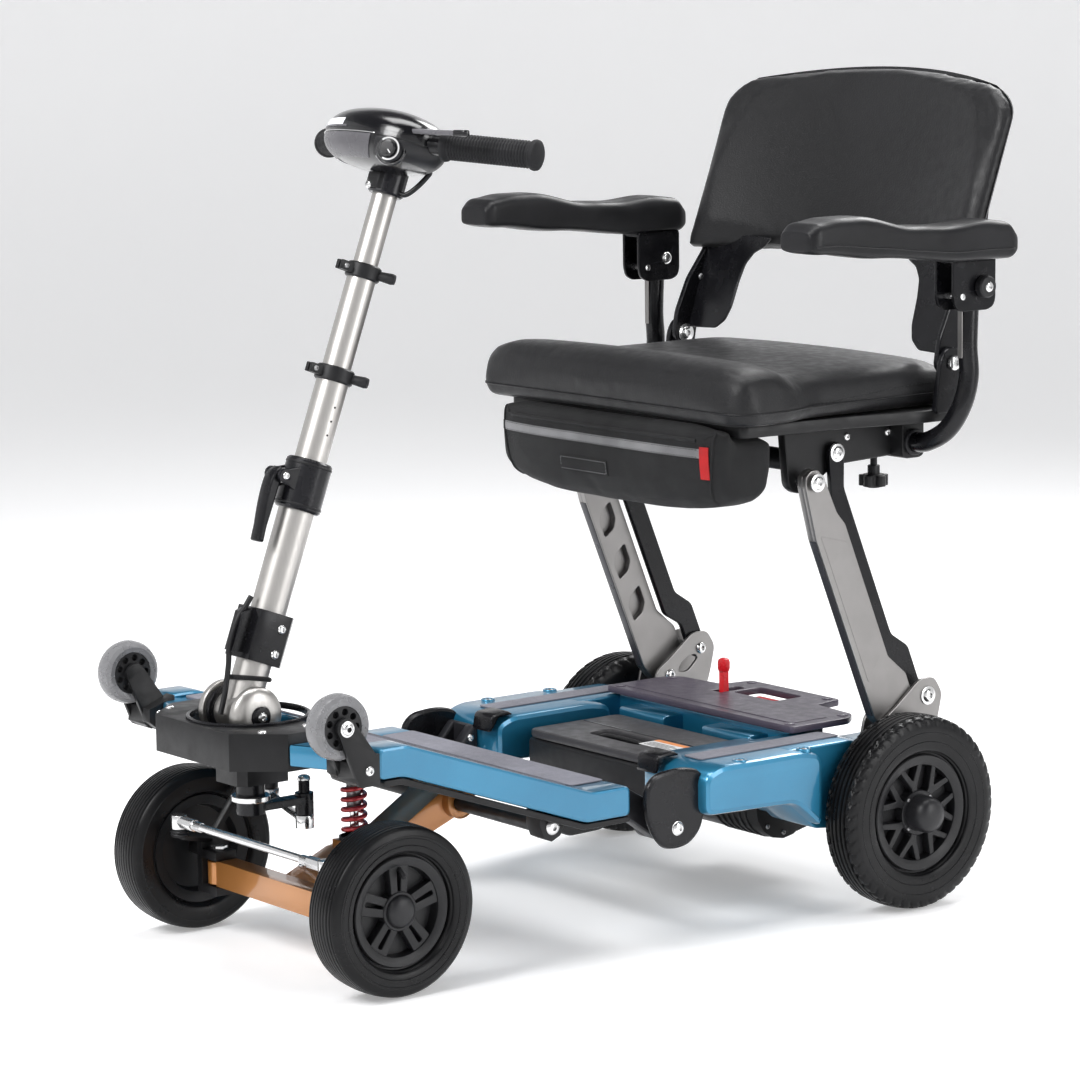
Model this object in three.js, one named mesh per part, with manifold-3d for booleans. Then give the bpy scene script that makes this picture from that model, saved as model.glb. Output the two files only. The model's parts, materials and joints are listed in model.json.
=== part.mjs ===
// Folding four-wheel electric mobility scooter with a height-adjustable tiller, a folding seat
// and a sprung front axle.
// Millimetres. Up is +Z, the rider looks along -Y, the rider's left is +X.
// Until the last step, Y = 0 is the front axle and Z = 0 the floor.
import * as THREE from 'three';
import { mergeVertices } from 'three/addons/utils/BufferGeometryUtils.js';
import Module from 'manifold-3d';

const GAP = 0.3;

const FRONT_WHEEL = { x: 188, y: 0, radius: 89.2, halfWidth: 25, rim: 60, hub: 17, sides: 32 };
const REAR_WHEEL = { x: 250.6, y: 652, radius: 107.5, halfWidth: 24, rim: 67, hub: 19, sides: 32 };
const TROLLEY_WHEEL = { x: 199, y: -69, z: 288, radius: 34, halfWidth: 12, bore: 4.4, sides: 16 };
const SPOKES = { frontPairs: 5, frontSpread: 7, rearCount: 10, rearTilt: 0.3, width: 5 };

const FOLD = { y: 345, z: 128, radius: 18, bolt: 8 };
const RAIL = { inner: 175, outer: 215, front: -30, back: 290, depth: 32 };
const DECK = { high: 262, low: 180, slopeStart: 5, slopeEnd: 240, plate: 4 };
const SUSPENSION = { y: 200, z: 146, tube: 10, boss: 17, compress: 6 };
const SPRING = { y: 85, bottom: 117, top: 187, coilRadius: 12, wire: 2.6, turns: 6 };
const KINGPIN = { x: 134, y: 0, radius: 6, eye: 13 };
const TIE_ROD = { x: 140, y: -46, z: 131, radius: 4.5 };
const STEERING = { y: -45, pitman: 67, post: 15.5, bottom: 163 };

const TILLER = { y: -55.5, z: 272, lean: 20.43, disc: 30, bolt: 7 };
const TUBES = {
  base: { outer: 19, inner: 17.6, from: 72, to: 268 },
  lower: { outer: 17.3, inner: 15.8, from: 170, to: 368 },
  middle: { outer: 15.5, inner: 13.6, from: 245, to: 479 },
  top: { outer: 13.3, from: 390, to: 612 },
};
const COLLAR = { from: 217, to: 271, radius: 24.5, leverAt: 247, leverOut: 34 };
const BAR = { radius: 11, y: 140, z: 852, bendX: 92, bendY: 151, bendZ: 851, endX: 184, endY: 196.5,
  endZ: 843 };
const CONSOLE = { halfX: 84, halfY: 50, halfZ: 34, y: 143, z: 852 };

const LEG = { y: 665, z: 196.6, topY: 551.4, topZ: 476.2, inner: 195.5, outer: 210, half: 22, end: 14,
  flare: 38 };
const LINK = { y: 711.8, z: 223.3, topY: 598.2, topZ: 502.9, inner: 186, outer: 193, half: 12, end: 12,
  jog: 17 };
const PIVOT = { pin: 5, bore: 5.4, head: 8 };
const BRACKET = { inner: 181, outer: 215, plate: 4 };
const SEAT = { front: 422, back: 762, bottom: 545, top: 592, crest: 601, halfFront: 237, halfBack: 219 };
const BACKREST = { hingeY: 727.4, hingeZ: 595, bottom: 695, top: 893, crown: 16, half: 234, padThick: 22,
  shellThick: 9 };
const ARM = { y: 700, z: 507, knobX: 139, radius: 11, postX: 271, postY: 718, topZ: 694, padPivotY: 725,
  padPivotZ: 682 };

const PAINT = { blue: 0x2d87b9, black: 0x232326, grey: 0x5a5560, silver: 0xc8c6c3, orange: 0xc98a4a,
  red: 0xbe141e };

const wasm = await Module();
wasm.setup();

// ---- solids ---------------------------------------------------------------------------

function solid(geometry) {
  geometry.deleteAttribute('normal');
  geometry.deleteAttribute('uv');
  const merged = mergeVertices(geometry, 1e-4);
  const index = merged.index.array;
  const triangles = [];
  for (let i = 0; i < index.length; i += 3) {
    const [a, b, c] = [index[i], index[i + 1], index[i + 2]];
    if (a !== b && b !== c && c !== a) {
      triangles.push(a, b, c);
    }
  }
  const make = (list) => new wasm.Manifold(new wasm.Mesh({
    numProp: 3,
    vertProperties: Float32Array.from(merged.attributes.position.array),
    triVerts: Uint32Array.from(list),
  }));
  const body = make(triangles);
  return body.volume() > 0 ? body : make(triangles.reverse());
}

const join = (...bodies) => bodies.reduce((a, b) => a.add(b));
const cut = (body, ...tools) => tools.reduce((a, b) => a.subtract(b), body);
const ordered = (s, [a, b]) => (s > 0 ? [a, b] : [-b, -a]);

function block([x0, x1], [y0, y1], [z0, z1]) {
  const g = new THREE.BoxGeometry(x1 - x0, y1 - y0, z1 - z0);
  g.translate((x0 + x1) / 2, (y0 + y1) / 2, (z0 + z1) / 2);
  return solid(g);
}

function extrude(points, depth) {
  const shape = new THREE.Shape(points.map(([u, v]) => new THREE.Vector2(u, v)));
  return new THREE.ExtrudeGeometry(shape, { depth, bevelEnabled: false, steps: 1 });
}

const vector = (p) => new THREE.Vector3(...p);
const basis = (x, y, z) => new THREE.Matrix4().makeBasis(vector(x), vector(y), vector(z));

// An outline of [y, z] points carried along X.
function side(points, [x0, x1]) {
  const g = extrude(points, x1 - x0);
  g.applyMatrix4(basis([0, 1, 0], [0, 0, 1], [1, 0, 0]));
  g.translate(x0, 0, 0);
  return solid(g);
}

// An outline of [x, y] points carried up Z.
function slab(points, [z0, z1]) {
  const g = extrude(points, z1 - z0);
  g.translate(0, 0, z0);
  return solid(g);
}

function rod(from, to, radius, sides = 12, endRadius = radius) {
  const a = vector(from);
  const b = vector(to);
  const g = new THREE.CylinderGeometry(endRadius, radius, a.distanceTo(b), sides);
  const turn = new THREE.Quaternion().setFromUnitVectors(new THREE.Vector3(0, 1, 0),
    b.clone().sub(a).normalize());
  g.applyQuaternion(turn);
  g.translate((a.x + b.x) / 2, (a.y + b.y) / 2, (a.z + b.z) / 2);
  return solid(g);
}

const rodX = (radius, [x0, x1], y, z, sides = 12) => rod([x0, y, z], [x1, y, z], radius, sides);
const rodZ = (radius, x, y, [z0, z1], sides = 12) => rod([x, y, z0], [x, y, z1], radius, sides);

// A ring of [radius, along] points turned about X, a flat facet lying at the bottom.
function turned(points, x, y, z, sides) {
  const outline = points.map(([r, along]) => new THREE.Vector2(r, along));
  const g = new THREE.LatheGeometry(outline, sides, Math.PI / sides);
  g.rotateZ(-Math.PI / 2);
  g.translate(x, y, z);
  return solid(g);
}

function swept(curve, radius, sides, steps) {
  const points = [];
  for (let i = 0; i < sides; i += 1) {
    const a = (2 * Math.PI * i) / sides;
    points.push(new THREE.Vector2(radius * Math.cos(a), radius * Math.sin(a)));
  }
  const g = new THREE.ExtrudeGeometry(new THREE.Shape(points), { steps, bevelEnabled: false,
    extrudePath: curve });
  return solid(g);
}

const smooth = (points) => new THREE.CatmullRomCurve3(points.map(vector), false, 'centripetal');

// A closed sheet between two surfaces of (u, v), each 0 to 1.
function sheet(near, far, columns, rows) {
  const at = [];
  const faces = [];
  for (const surface of [near, far]) {
    for (let j = 0; j <= rows; j += 1) {
      for (let i = 0; i <= columns; i += 1) {
        at.push(...surface(i / columns, j / rows));
      }
    }
  }
  const wide = columns + 1;
  const other = wide * (rows + 1);
  const quad = (a, b, c, d) => faces.push(a, b, c, a, c, d);
  for (let j = 0; j < rows; j += 1) {
    for (let i = 0; i < columns; i += 1) {
      const k = j * wide + i;
      quad(k, k + 1, k + wide + 1, k + wide);
      quad(other + k, other + k + wide, other + k + wide + 1, other + k + 1);
    }
  }
  const edge = (a, b) => quad(b, a, other + a, other + b);
  for (let i = 0; i < columns; i += 1) {
    edge(i, i + 1);
    edge(rows * wide + i + 1, rows * wide + i);
  }
  for (let j = 0; j < rows; j += 1) {
    edge((j + 1) * wide, j * wide);
    edge(j * wide + columns, (j + 1) * wide + columns);
  }
  const g = new THREE.BufferGeometry();
  g.setAttribute('position', new THREE.Float32BufferAttribute(at, 3));
  g.setIndex(faces);
  return solid(g);
}

// Pieces of the tiller are drawn upright with the fold pivot at the origin, then leaned back.
function leaned(body) {
  return body.rotate([-TILLER.lean, 0, 0]).translate([0, TILLER.y, TILLER.z]);
}

// ---- wheels ---------------------------------------------------------------------------

function tyre(wheel, s) {
  const r = wheel.radius / Math.cos(Math.PI / wheel.sides);
  const w = wheel.halfWidth;
  const inner = wheel.rim + GAP * 4;
  const shoulder = wheel.radius * 0.94;
  const wall = (wheel.rim + wheel.radius) / 2 + 4;
  const ring = [[inner, -w + 4], [wall, -w], [shoulder, -w + 4], [r, -w * 0.5], [r, w * 0.5],
    [shoulder, w - 4],
    [wall, w], [inner, w - 4], [inner, -w + 4]];
  return turned(ring, s * wheel.x, wheel.y, wheel.radius, wheel.sides);
}

function spoke(wheel, s, angle, tilt, offset, reach) {
  const along = (r, shift) => {
    const y = r * Math.cos(angle) - shift * Math.sin(angle);
    const z = r * Math.sin(angle) + shift * Math.cos(angle);
    return [s * (wheel.x + 9), wheel.y + y, wheel.radius + z];
  };
  return rod(along(wheel.hub - 5, offset), along(reach, offset + tilt * reach), SPOKES.width, 3);
}

function rim(wheel, s, webRadius, capOut, axle, spokes) {
  const section = [[0, 3], [webRadius, 3], [webRadius, 17], [wheel.rim, 19], [wheel.rim, -19],
    [webRadius, -17],
    [webRadius, -3], [0, -3]];
  const dish = turned(section, s * wheel.x, wheel.y, wheel.radius, 24);
  const hub = rodX(wheel.hub, ordered(s, [wheel.x - 16, wheel.x + capOut]), wheel.y, wheel.radius, 16);
  const bore = rodX(axle + 0.4, ordered(s, [wheel.x - 40, wheel.x + 12 + GAP]), wheel.y, wheel.radius, 12);
  return cut(join(dish, hub, ...spokes), bore);
}

function frontRim(s) {
  const spokes = [];
  for (let i = 0; i < SPOKES.frontPairs; i += 1) {
    for (const k of [-1, 1]) {
      const angle = Math.PI / 2 + (i * 2 * Math.PI) / SPOKES.frontPairs;
      spokes.push(spoke(FRONT_WHEEL, s, angle, 0, k * SPOKES.frontSpread, 50));
    }
  }
  return rim(FRONT_WHEEL, s, 48, 23, 8, spokes);
}

function rearRim(s) {
  const spokes = [];
  for (let i = 0; i < SPOKES.rearCount; i += 1) {
    const tilt = i % 2 ? SPOKES.rearTilt : -SPOKES.rearTilt;
    spokes.push(spoke(REAR_WHEEL, s, (i * 2 * Math.PI) / SPOKES.rearCount, tilt, 0, 55));
  }
  return rim(REAR_WHEEL, s, 54, 43, 10, spokes);
}

function trolleyWheel(s) {
  const { x, y, z, radius, halfWidth: w, bore, sides } = TROLLEY_WHEEL;
  const ring = [[bore, -w], [20, -w + 1], [28, -w], [radius - 1, -w * 0.6], [radius, 0],
    [radius - 1, w * 0.6],
    [28, w], [20, w - 1], [bore, w], [bore, -w]];
  return turned(ring, s * x, y, z, sides);
}

// ---- rear chassis ---------------------------------------------------------------------

function rearFrame() {
  const parts = [];
  for (const s of [1, -1]) {
    parts.push(side([[372, 137], [500, 133], [538, 100], [538, 190], [394, 190], [372, 181]],
      ordered(s, [130, 240])));
    parts.push(side([[500, 133], [540, 97], [585, 92], [602, 130.3], [722, 130.3], [722, 178], [636, 178],
      [590, 190], [500, 190]],
      ordered(s, [150, 222])));
    parts.push(block(ordered(s, [33, 115]), [535, 566], [150, 185]));
    parts.push(block(ordered(s, [98, 110]), [585, 650], [168, 192]));
  }
  parts.push(block([-152, 152], [564, 590], [143, 192]));
  parts.push(block([-135, 135], [392, 545], [111, 116]));
  parts.push(block([-152, 152], [543, 548], [111, 150]));
  return join(...parts);
}

function rearHinge(s) {
  const { y, z, radius, bolt } = FOLD;
  const cheek = (range) => join(
    rodX(radius, range, y, z, 14),
    side([[y - 8, z + 16], [372 - GAP, 176], [372 - GAP, 138], [y + 8, z - 16], [y - 10, z - 10]], range),
  );
  const outer = cheek(ordered(s, [206, 222]));
  const inner = cheek(ordered(s, [168, 184]));
  const bridge = side([[366, 138], [366, 174], [372 - GAP, 176], [372 - GAP, 138]], ordered(s, [168, 222]));
  const pin = rodX(bolt, ordered(s, [168, 224]), y, z, 14);
  return join(outer, inner, bridge, pin);
}

function rearPlate() {
  const edge = [[-165, 556], [165, 556], [165, 640], [150, 658], [84, 664], [78, 704], [-78, 704], [-84, 664],
    [-150, 658], [-165, 640]];
  const plate = slab(edge, [192 + GAP, 200]);
  const handHole = block([-37, 37], [641, 682], [180, 210]);
  const leverSlot = block([-60, -44], [612, 666], [180, 210]);
  return cut(plate, handHole, leverSlot);
}

function seatBracket(s) {
  const edge = [[640, 178 + GAP], [646, 204], [662, 214], [700, 243], [722, 243], [734, 224], [728, 198],
    [722, 178 + GAP]];
  const { inner, outer, plate } = BRACKET;
  const outerPlate = side(edge, ordered(s, [outer - plate, outer]));
  const window = side([[677, 199], [692, 197], [707, 211], [704, 217], [692, 216], [680, 207]],
    ordered(s, [170, 190]));
  const innerPlate = cut(side(edge, ordered(s, [inner, inner + plate])), window);
  const foot = block(ordered(s, [inner, outer]), [640, 722], [178 + GAP, 180.6]);
  const pins = [LEG, LINK].map(({ y, z }) => rodX(PIVOT.pin, ordered(s, [inner, outer + 1]), y, z, 12));
  const heads = [LEG, LINK].map(({ y, z }) => rodX(PIVOT.head, ordered(s, [outer, outer + 4]), y, z, 12));
  return join(outerPlate, innerPlate, foot, ...pins, ...heads);
}

function transaxle() {
  const { y, radius: z } = REAR_WHEEL;
  const parts = [rodX(56, [-62, 62], y, z, 14), rodX(40, [-20, 108], 592, 100, 16)];
  for (const s of [1, -1]) {
    parts.push(rodX(22, ordered(s, [55, 224]), y, z, 16));
    parts.push(rodX(10, ordered(s, [220, 262]), y, z, 16));
    parts.push(block(ordered(s, [165, 212]), [632, 672], [112, 130]));
  }
  return join(...parts);
}

function battery() {
  const shell = side([[400, 117], [530, 117], [530, 172], [524, 178], [406, 178], [400, 172]], [-110, 110]);
  const grip = block([-48, 48], [436, 466], [166, 185]);
  return cut(shell, grip);
}

function freewheelLever() {
  return join(block([-56, -48], [636, 644], [188, 236]), rodX(7, [-57, -47], 640, 187, 12));
}

// ---- front chassis --------------------------------------------------------------------

const slope = (DECK.high - DECK.low) / (DECK.slopeEnd - DECK.slopeStart);
const railTop = (y, drop = 0) => DECK.high - drop - slope * (y - DECK.slopeStart);

function noseOpening() {
  return rodZ(61, 0, STEERING.y, [237, 300], 32);
}

function frontFrame() {
  const { inner, outer, front, back, depth } = RAIL;
  const { high, low, slopeStart, slopeEnd, plate } = DECK;
  const profile = [[front, high], [slopeStart, high], [slopeEnd, low], [back, low], [back, low - depth],
    [slopeEnd - 8, low - depth], [slopeStart - 5, high - depth], [front, high - depth]];
  const floor = [[-19, high - 2], [slopeStart, high - 2], [slopeEnd, low - 2], [back, low - 2],
    [back, low - 2 - plate],
    [slopeEnd, low - 2 - plate], [slopeStart, high - 2 - plate], [-19, high - 2 - plate]];
  const parts = [
    side(floor, [-inner - 1, inner + 1]),
    block([-inner - 1, inner + 1], [slopeEnd + 4, back], [low - depth, low]),
    slab([[-178, -29.5], [-166, -46], [-112, -70], [112, -70], [166, -46], [178, -29.5], [178, 20],
      [-178, 20]],
      [234, high - 2]),
    side([[SPRING.y - 19, 192 + GAP], [SPRING.y + 19, 192 + GAP], [SPRING.y + 19, 224], [SPRING.y - 19, 237]],
      [-22, 22]),
  ];
  for (const s of [1, -1]) {
    parts.push(side(profile, ordered(s, [inner, outer])));
    parts.push(rodX(FOLD.radius, ordered(s, [185, 205]), FOLD.y, FOLD.z, 14));
    parts.push(side([[back - 8, low - 2], [FOLD.y - 2, FOLD.z + 17], [FOLD.y, FOLD.z - 17],
      [back - 8, low - depth + 2]],
      ordered(s, [185, 205])));
  }
  const tools = [block([-112, 112], [-90, -19], [200, 300]), noseOpening()];
  for (const s of [1, -1]) {
    tools.push(rodX(FOLD.bolt + 0.4, ordered(s, [180, 210]), FOLD.y, FOLD.z, 14));
    tools.push(block(ordered(s, [165, 220]), [-90, -30], [200, 300]));
  }
  return cut(join(...parts), ...tools);
}

function noseBracket() {
  const edge = [[-70, -115], [70, -115], [111, -70], [111, -19.5], [-111, -19.5], [-111, -70]];
  const headEdge = [[-28, -66], [-20, -74], [20, -74], [28, -66], [28, -16], [-28, -16]];
  const bore = rodZ(STEERING.post + 0.5, 0, STEERING.y, [190, 300], 16);
  return cut(join(slab(edge, [228, 267]), slab(headEdge, [198, 228.1])), noseOpening(), bore);
}

function trolleyArm(s) {
  const { y, z, bore } = TROLLEY_WHEEL;
  const plate = (range) => join(
    side([[-56, 228], [-30 - GAP, 226], [-30 - GAP, 252], [y + 10, z + 5], [y - 9, z - 6]], range),
    rodX(11, range, y, z, 16),
  );
  const corner = side([[-60, 232], [-52, 226], [-30 - GAP, 226], [-30 - GAP, 258], [-42, 258], [-58, 250]],
    ordered(s, [182, 216]));
  const shoe = side([[-62, 236], [-50, 226], [-30 - GAP, 226], [-30 - GAP, 262], [-50, 254], [-62, 250]],
    ordered(s, [168, 184]));
  const shaft = rodX(bore - 0.4, ordered(s, [182, 219]), y, z, 12);
  return join(plate(ordered(s, [211.5, 216])), plate(ordered(s, [182, 186.5])), corner, shoe, shaft);
}

function pivotTube() {
  const { y, z, tube } = SUSPENSION;
  const under = (at) => railTop(at) - RAIL.depth - 3;
  const hanger = [[y - 16, z + 2], [y - 11, z - 11], [y, z - 16], [y + 11, z - 11], [y + 17, z],
    [y + 17, under(y + 17)],
    [y - 16, under(y - 16)]];
  const ends = [1, -1].map((s) => side(hanger, ordered(s, [172, 196])));
  return join(rodX(tube, [-180, 180], y, z, 14), ...ends);
}

function suspensionArm() {
  const { y, z, tube, boss } = SUSPENSION;
  const beam = block([-126, 126], [-10, 14], [56, 84]);
  const spine = side([[-8, 57], [14, 56], [y + 4, z - 16], [y + 2, z + 15], [y - 16, z + 14], [106, 113],
    [66, 107], [14, 84], [-8, 83]],
    [-26, 26]);
  const seat = block([-17, 17], [SPRING.y - 17, SPRING.y + 17], [96, 116]);
  const eyes = [1, -1].map((s) => rodZ(KINGPIN.eye, s * KINGPIN.x, KINGPIN.y, [58, 82], 16));
  const bores = [1, -1].map((s) => rodZ(KINGPIN.radius + 0.4, s * KINGPIN.x, KINGPIN.y, [40, 100], 16));
  const arm = join(beam, spine, seat, rodX(boss, [-36, 36], y, z, 14), ...eyes);
  return cut(arm, rodX(tube + 0.4, [-60, 60], y, z, 14), ...bores);
}

class Helix extends THREE.Curve {
  getPoint(t) {
    const a = 2 * Math.PI * SPRING.turns * t;
    const low = SPRING.bottom + SPRING.wire + GAP;
    const high = SPRING.top - SPRING.wire;
    const r = SPRING.coilRadius;
    return new THREE.Vector3(r * Math.cos(a), SPRING.y + r * Math.sin(a), low + (high - low) * t);
  }
}

function coilSpring() {
  return swept(new Helix(), SPRING.wire, 5, SPRING.turns * 12);
}

function damperBody() {
  const cup = rodZ(17, 0, SPRING.y, [SPRING.top + GAP, 192], 14);
  const barrel = rodZ(8, 0, SPRING.y, [148, SPRING.top + 1], 16);
  return cut(join(cup, barrel), rodZ(5.4, 0, SPRING.y, [140, 186], 16));
}

function damperRod() {
  return rodZ(5, 0, SPRING.y, [SPRING.bottom + 0.5, 170], 16);
}

function knuckle(s) {
  const { x, y, radius } = KINGPIN;
  const parts = [
    block(ordered(s, [x - 13, x + 24]), [-13, 13], [84.6, 94]),
    block(ordered(s, [x - 13, x + 24]), [-13, 13], [46, 55.4]),
    block(ordered(s, [x + 15, x + 24]), [-13, 13], [46, 112]),
    rodZ(radius, s * x, y, [50, 90], 12),
    rodX(8, ordered(s, [x + 20, FRONT_WHEEL.x + 12]), 0, FRONT_WHEEL.radius, 16),
    rod([s * (x + 19), 0, 104], [s * (x + 7), TIE_ROD.y + 4, 115], 6, 6),
    rodZ(8.5, s * TIE_ROD.x, TIE_ROD.y, [114, TIE_ROD.z - 9], 12),
  ];
  if (s < 0) {
    parts.push(rod([s * (x + 19), 4, 106], [s * (x + 17), 44, 161], 5.5, 6));
    parts.push(rod([s * (x + 18), 40, 158], [s * x, STEERING.pitman, 158], 5, 6));
    parts.push(rodZ(9, s * x, STEERING.pitman, [153, 163], 12));
  }
  return join(...parts);
}

function tieRod() {
  const { x, y, z, radius } = TIE_ROD;
  const parts = [rodX(radius, [-x + 4, x - 4], y, z, 10)];
  for (const s of [1, -1]) {
    parts.push(rodX(7, ordered(s, [x - 30, x - 4]), y, z, 8));
    parts.push(rodZ(9, s * x, y, [z - 8, z + 7], 12));
  }
  return join(...parts);
}

function dragLink() {
  const near = [0, STEERING.y + STEERING.pitman, 145];
  const far = [-KINGPIN.x, STEERING.pitman, 145];
  return join(rod(near, far, 4.5, 8), rodZ(10, near[0], near[1], [138, 152], 16),
    rodZ(10, far[0], far[1], [138, 152], 16));
}

function steeringPost() {
  const tip = STEERING.y + STEERING.pitman;
  const cheeks = [1, -1].map((s) => {
    const range = ordered(s, [19.6, 25]);
    return join(rodX(26, range, TILLER.y, TILLER.z, 16),
      side([[TILLER.y - 20, 243.4], [TILLER.y + 30, 243.4], [TILLER.y + 24, TILLER.z],
        [TILLER.y - 24, TILLER.z]], range));
  });
  const foot = block([-25, 25], [TILLER.y - 20, TILLER.y + 30], [243.4, 248]);
  const post = rodZ(STEERING.post, 0, STEERING.y, [STEERING.bottom, 246], 16);
  const pitman = block([-9, 9], [STEERING.y, tip], [165, 173]);
  const ball = join(rodZ(10, 0, tip, [153, 176], 16), rodZ(6, 0, tip, [175, 190], 12));
  const bolt = rodX(TILLER.bolt + 0.4, [-40, 40], TILLER.y, TILLER.z, 14);
  return cut(join(...cheeks, foot, post, pitman, ball), bolt);
}

// ---- tiller ---------------------------------------------------------------------------

function tube({ outer, inner, from, to }) {
  const shell = rodZ(outer, 0, 0, [from, to], 16);
  return inner ? cut(shell, rodZ(inner, 0, 0, [from - 1, to + 1], 16)) : shell;
}

function tillerBase() {
  const head = rodX(21, [-19.2, 19.2], 0, 0, 16);
  const stem = rodZ(19, 0, 0, [8, TUBES.base.from + 1], 16);
  const bolt = rodX(TILLER.bolt, [-30, 30], 0, 0, 14);
  const discs = [1, -1].map((s) => join(
    rodX(TILLER.disc, ordered(s, [25.4, 33]), 0, 0, 16),
    rod([s * 33, 0, 0], [s * 40, 0, 0], TILLER.disc, 24, 14),
    rodX(11, ordered(s, [39, 44]), 0, 0, 14),
  ));
  return leaned(join(head, stem, bolt, tube(TUBES.base), ...discs));
}

function tillerSleeve() {
  const outside = slab([[-22, -23], [22, -23], [24, -10], [24, 16], [16, 23], [-16, 23], [-24, 16],
    [-24, -10]], [54, 108]);
  const cableGuide = side([[-23, 60], [-34, 58], [-34, 100], [-23, 108]], [-9, 9]);
  return leaned(cut(join(outside, cableGuide), rodZ(TUBES.base.outer + 0.5, 0, 0, [40, 120], 14)));
}

function tubeClamp() {
  const { from, to, radius, leverAt, leverOut } = COLLAR;
  const ring = rodZ(radius, 0, 0, [from, to], 16);
  const ears = [1, -1].map((s) => join(
    side([[-18, leverAt - 12], [-leverOut, leverAt - 7], [-leverOut, leverAt + 7], [-18, leverAt + 14]],
      ordered(s, [9.5, 15])),
    rodX(8, ordered(s, [9.5, 15]), -leverOut, leverAt, 14),
  ));
  const pin = rodX(3, [-14, 14], -leverOut, leverAt, 12);
  return leaned(cut(join(ring, ...ears, pin), rodZ(TUBES.base.outer + 0.5, 0, 0, [from - 5, to + 5], 14)));
}

function clampLever() {
  const { leverAt: h, leverOut: out } = COLLAR;
  const blade = side([[-out - 6, h + 6], [-out + 5, h + 2], [-out - 1, h - 30], [-out + 1, h - 62],
    [-out + 1, h - 78],
    [-out - 5, h - 78], [-out - 9, h - 60], [-out - 8, h - 25]], [-8.5, 8.5]);
  const hub = rodX(7.5, [-8.5, 8.5], -out, h, 14);
  return leaned(cut(join(blade, hub), rodX(3.4, [-20, 20], -out, h, 12)));
}

function ringClamp(at, outer, bore) {
  const ring = join(
    rodZ(outer, 0, 0, [at - 8, at + 8], 14),
    block([-6, 6], [-outer - 8, -outer + 4], [at - 5, at + 5]),
    block([outer - 4, outer + 11], [-6, 6], [at - 4, at + 4]),
  );
  return cut(ring, rodZ(bore, 0, 0, [at - 20, at + 20], 16));
}

const lowerTube = () => leaned(join(tube(TUBES.lower), ringClamp(364, 20.5, TUBES.lower.inner)));
const middleTube = () => leaned(join(tube(TUBES.middle), ringClamp(476, 18.5, TUBES.middle.inner)));

function barPath(s) {
  const { y, z, bendX, bendY, bendZ, endX, endY, endZ } = BAR;
  return [[0, y, z], [s * bendX, bendY, bendZ], [s * endX, endY, endZ]];
}

function handlebar(radius) {
  const halves = [1, -1].map((s) => {
    const [middle, bend, end] = barPath(s);
    return join(rod(middle, bend, radius, 12), rod(bend, end, radius, 12));
  });
  return join(...halves);
}

function topTube() {
  return join(leaned(tube(TUBES.top)), handlebar(BAR.radius));
}

function consoleBody() {
  const { halfX, halfY, halfZ, y, z } = CONSOLE;
  const g = new THREE.SphereGeometry(1, 16, 10);
  g.rotateX(Math.PI / 2);
  g.scale(halfX, halfY, halfZ);
  g.rotateX((-TILLER.lean * Math.PI) / 180);
  g.translate(0, y, z);
  const neck = leaned(rodZ(19, 0, 0, [545, 600], 14));
  const wells = [
    handlebar(BAR.radius + 0.6),
    leaned(rodZ(TUBES.top.outer + 0.5, 0, 0, [500, 613], 16)),
    rod([42, 131, 842], [76, 82, 855], 14, 16),
    block([50, 96], [116, 148], [861, 876]),
  ];
  return cut(join(solid(g), neck), ...wells);
}

function grip(s) {
  const [, c, d] = barPath(s);
  const along = (t) => c.map((v, i) => v + (d[i] - v) * t);
  const body = join(rod(along(0.03), along(1.06), 14.5, 12), rod(along(1.0), along(1.05), 16, 12));
  return cut(body, rod(along(-0.2), along(1.006), BAR.radius + 0.4, 12));
}

function speedDial() {
  return join(rod([49.5, 120.4, 844.9], [62.5, 101.6, 849.8], 13.2, 16), rod([62, 102.3, 849.6],
    [65, 98, 850.8], 9, 12));
}

function throttleLever() {
  return join(rodZ(7, 62, 132, [862, 871], 14),
    slab([[60, 126], [118, 124], [154, 132], [154, 139], [116, 132], [60, 138]],
    [864, 869]));
}

// ---- seat -----------------------------------------------------------------------------

// A bar between its two pivots. Its outline is a list of [along, across], from the lower pivot, at 0, to the upper.
function strut({ y, z, topY, topZ, inner, outer, end }, s, outlineFor) {
  const length = Math.hypot(topY - y, topZ - z);
  const along = [(topY - y) / length, (topZ - z) / length];
  const across = [along[1], -along[0]];
  const outline = outlineFor(length).map(([a, c]) => [y + along[0] * a + across[0] * c,
    z + along[1] * a + across[1] * c]);
  const range = ordered(s, [inner, outer]);
  const through = ordered(s, [inner - 5, outer + 5]);
  const pivots = [[y, z], [topY, topZ]];
  const ends = pivots.map(([py, pz]) => rodX(end, range, py, pz, 18));
  const bores = pivots.map(([py, pz]) => rodX(PIVOT.bore, through, py, pz, 16));
  return cut(join(side(outline, range), ...ends), ...bores);
}

function seatLeg(s) {
  const { half, end, flare } = LEG;
  return strut(LEG, s, (length) => [[0, -end], [20, -half], [length - 60, -half], [length, -end],
    [length, end],
    [length - 45, half - 6], [length - 62, half], [74, half], [44, flare], [10, flare], [0, end]]);
}

function seatLink(s) {
  const { half, jog } = LINK;
  return strut(LINK, s, (length) => [[0, -half], [38, -half], [60, -half - jog], [length - 55, -half - jog],
    [length, -half], [length, half], [length - 40, half - jog], [78, half - jog], [54, half], [0, half]]);
}

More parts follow.
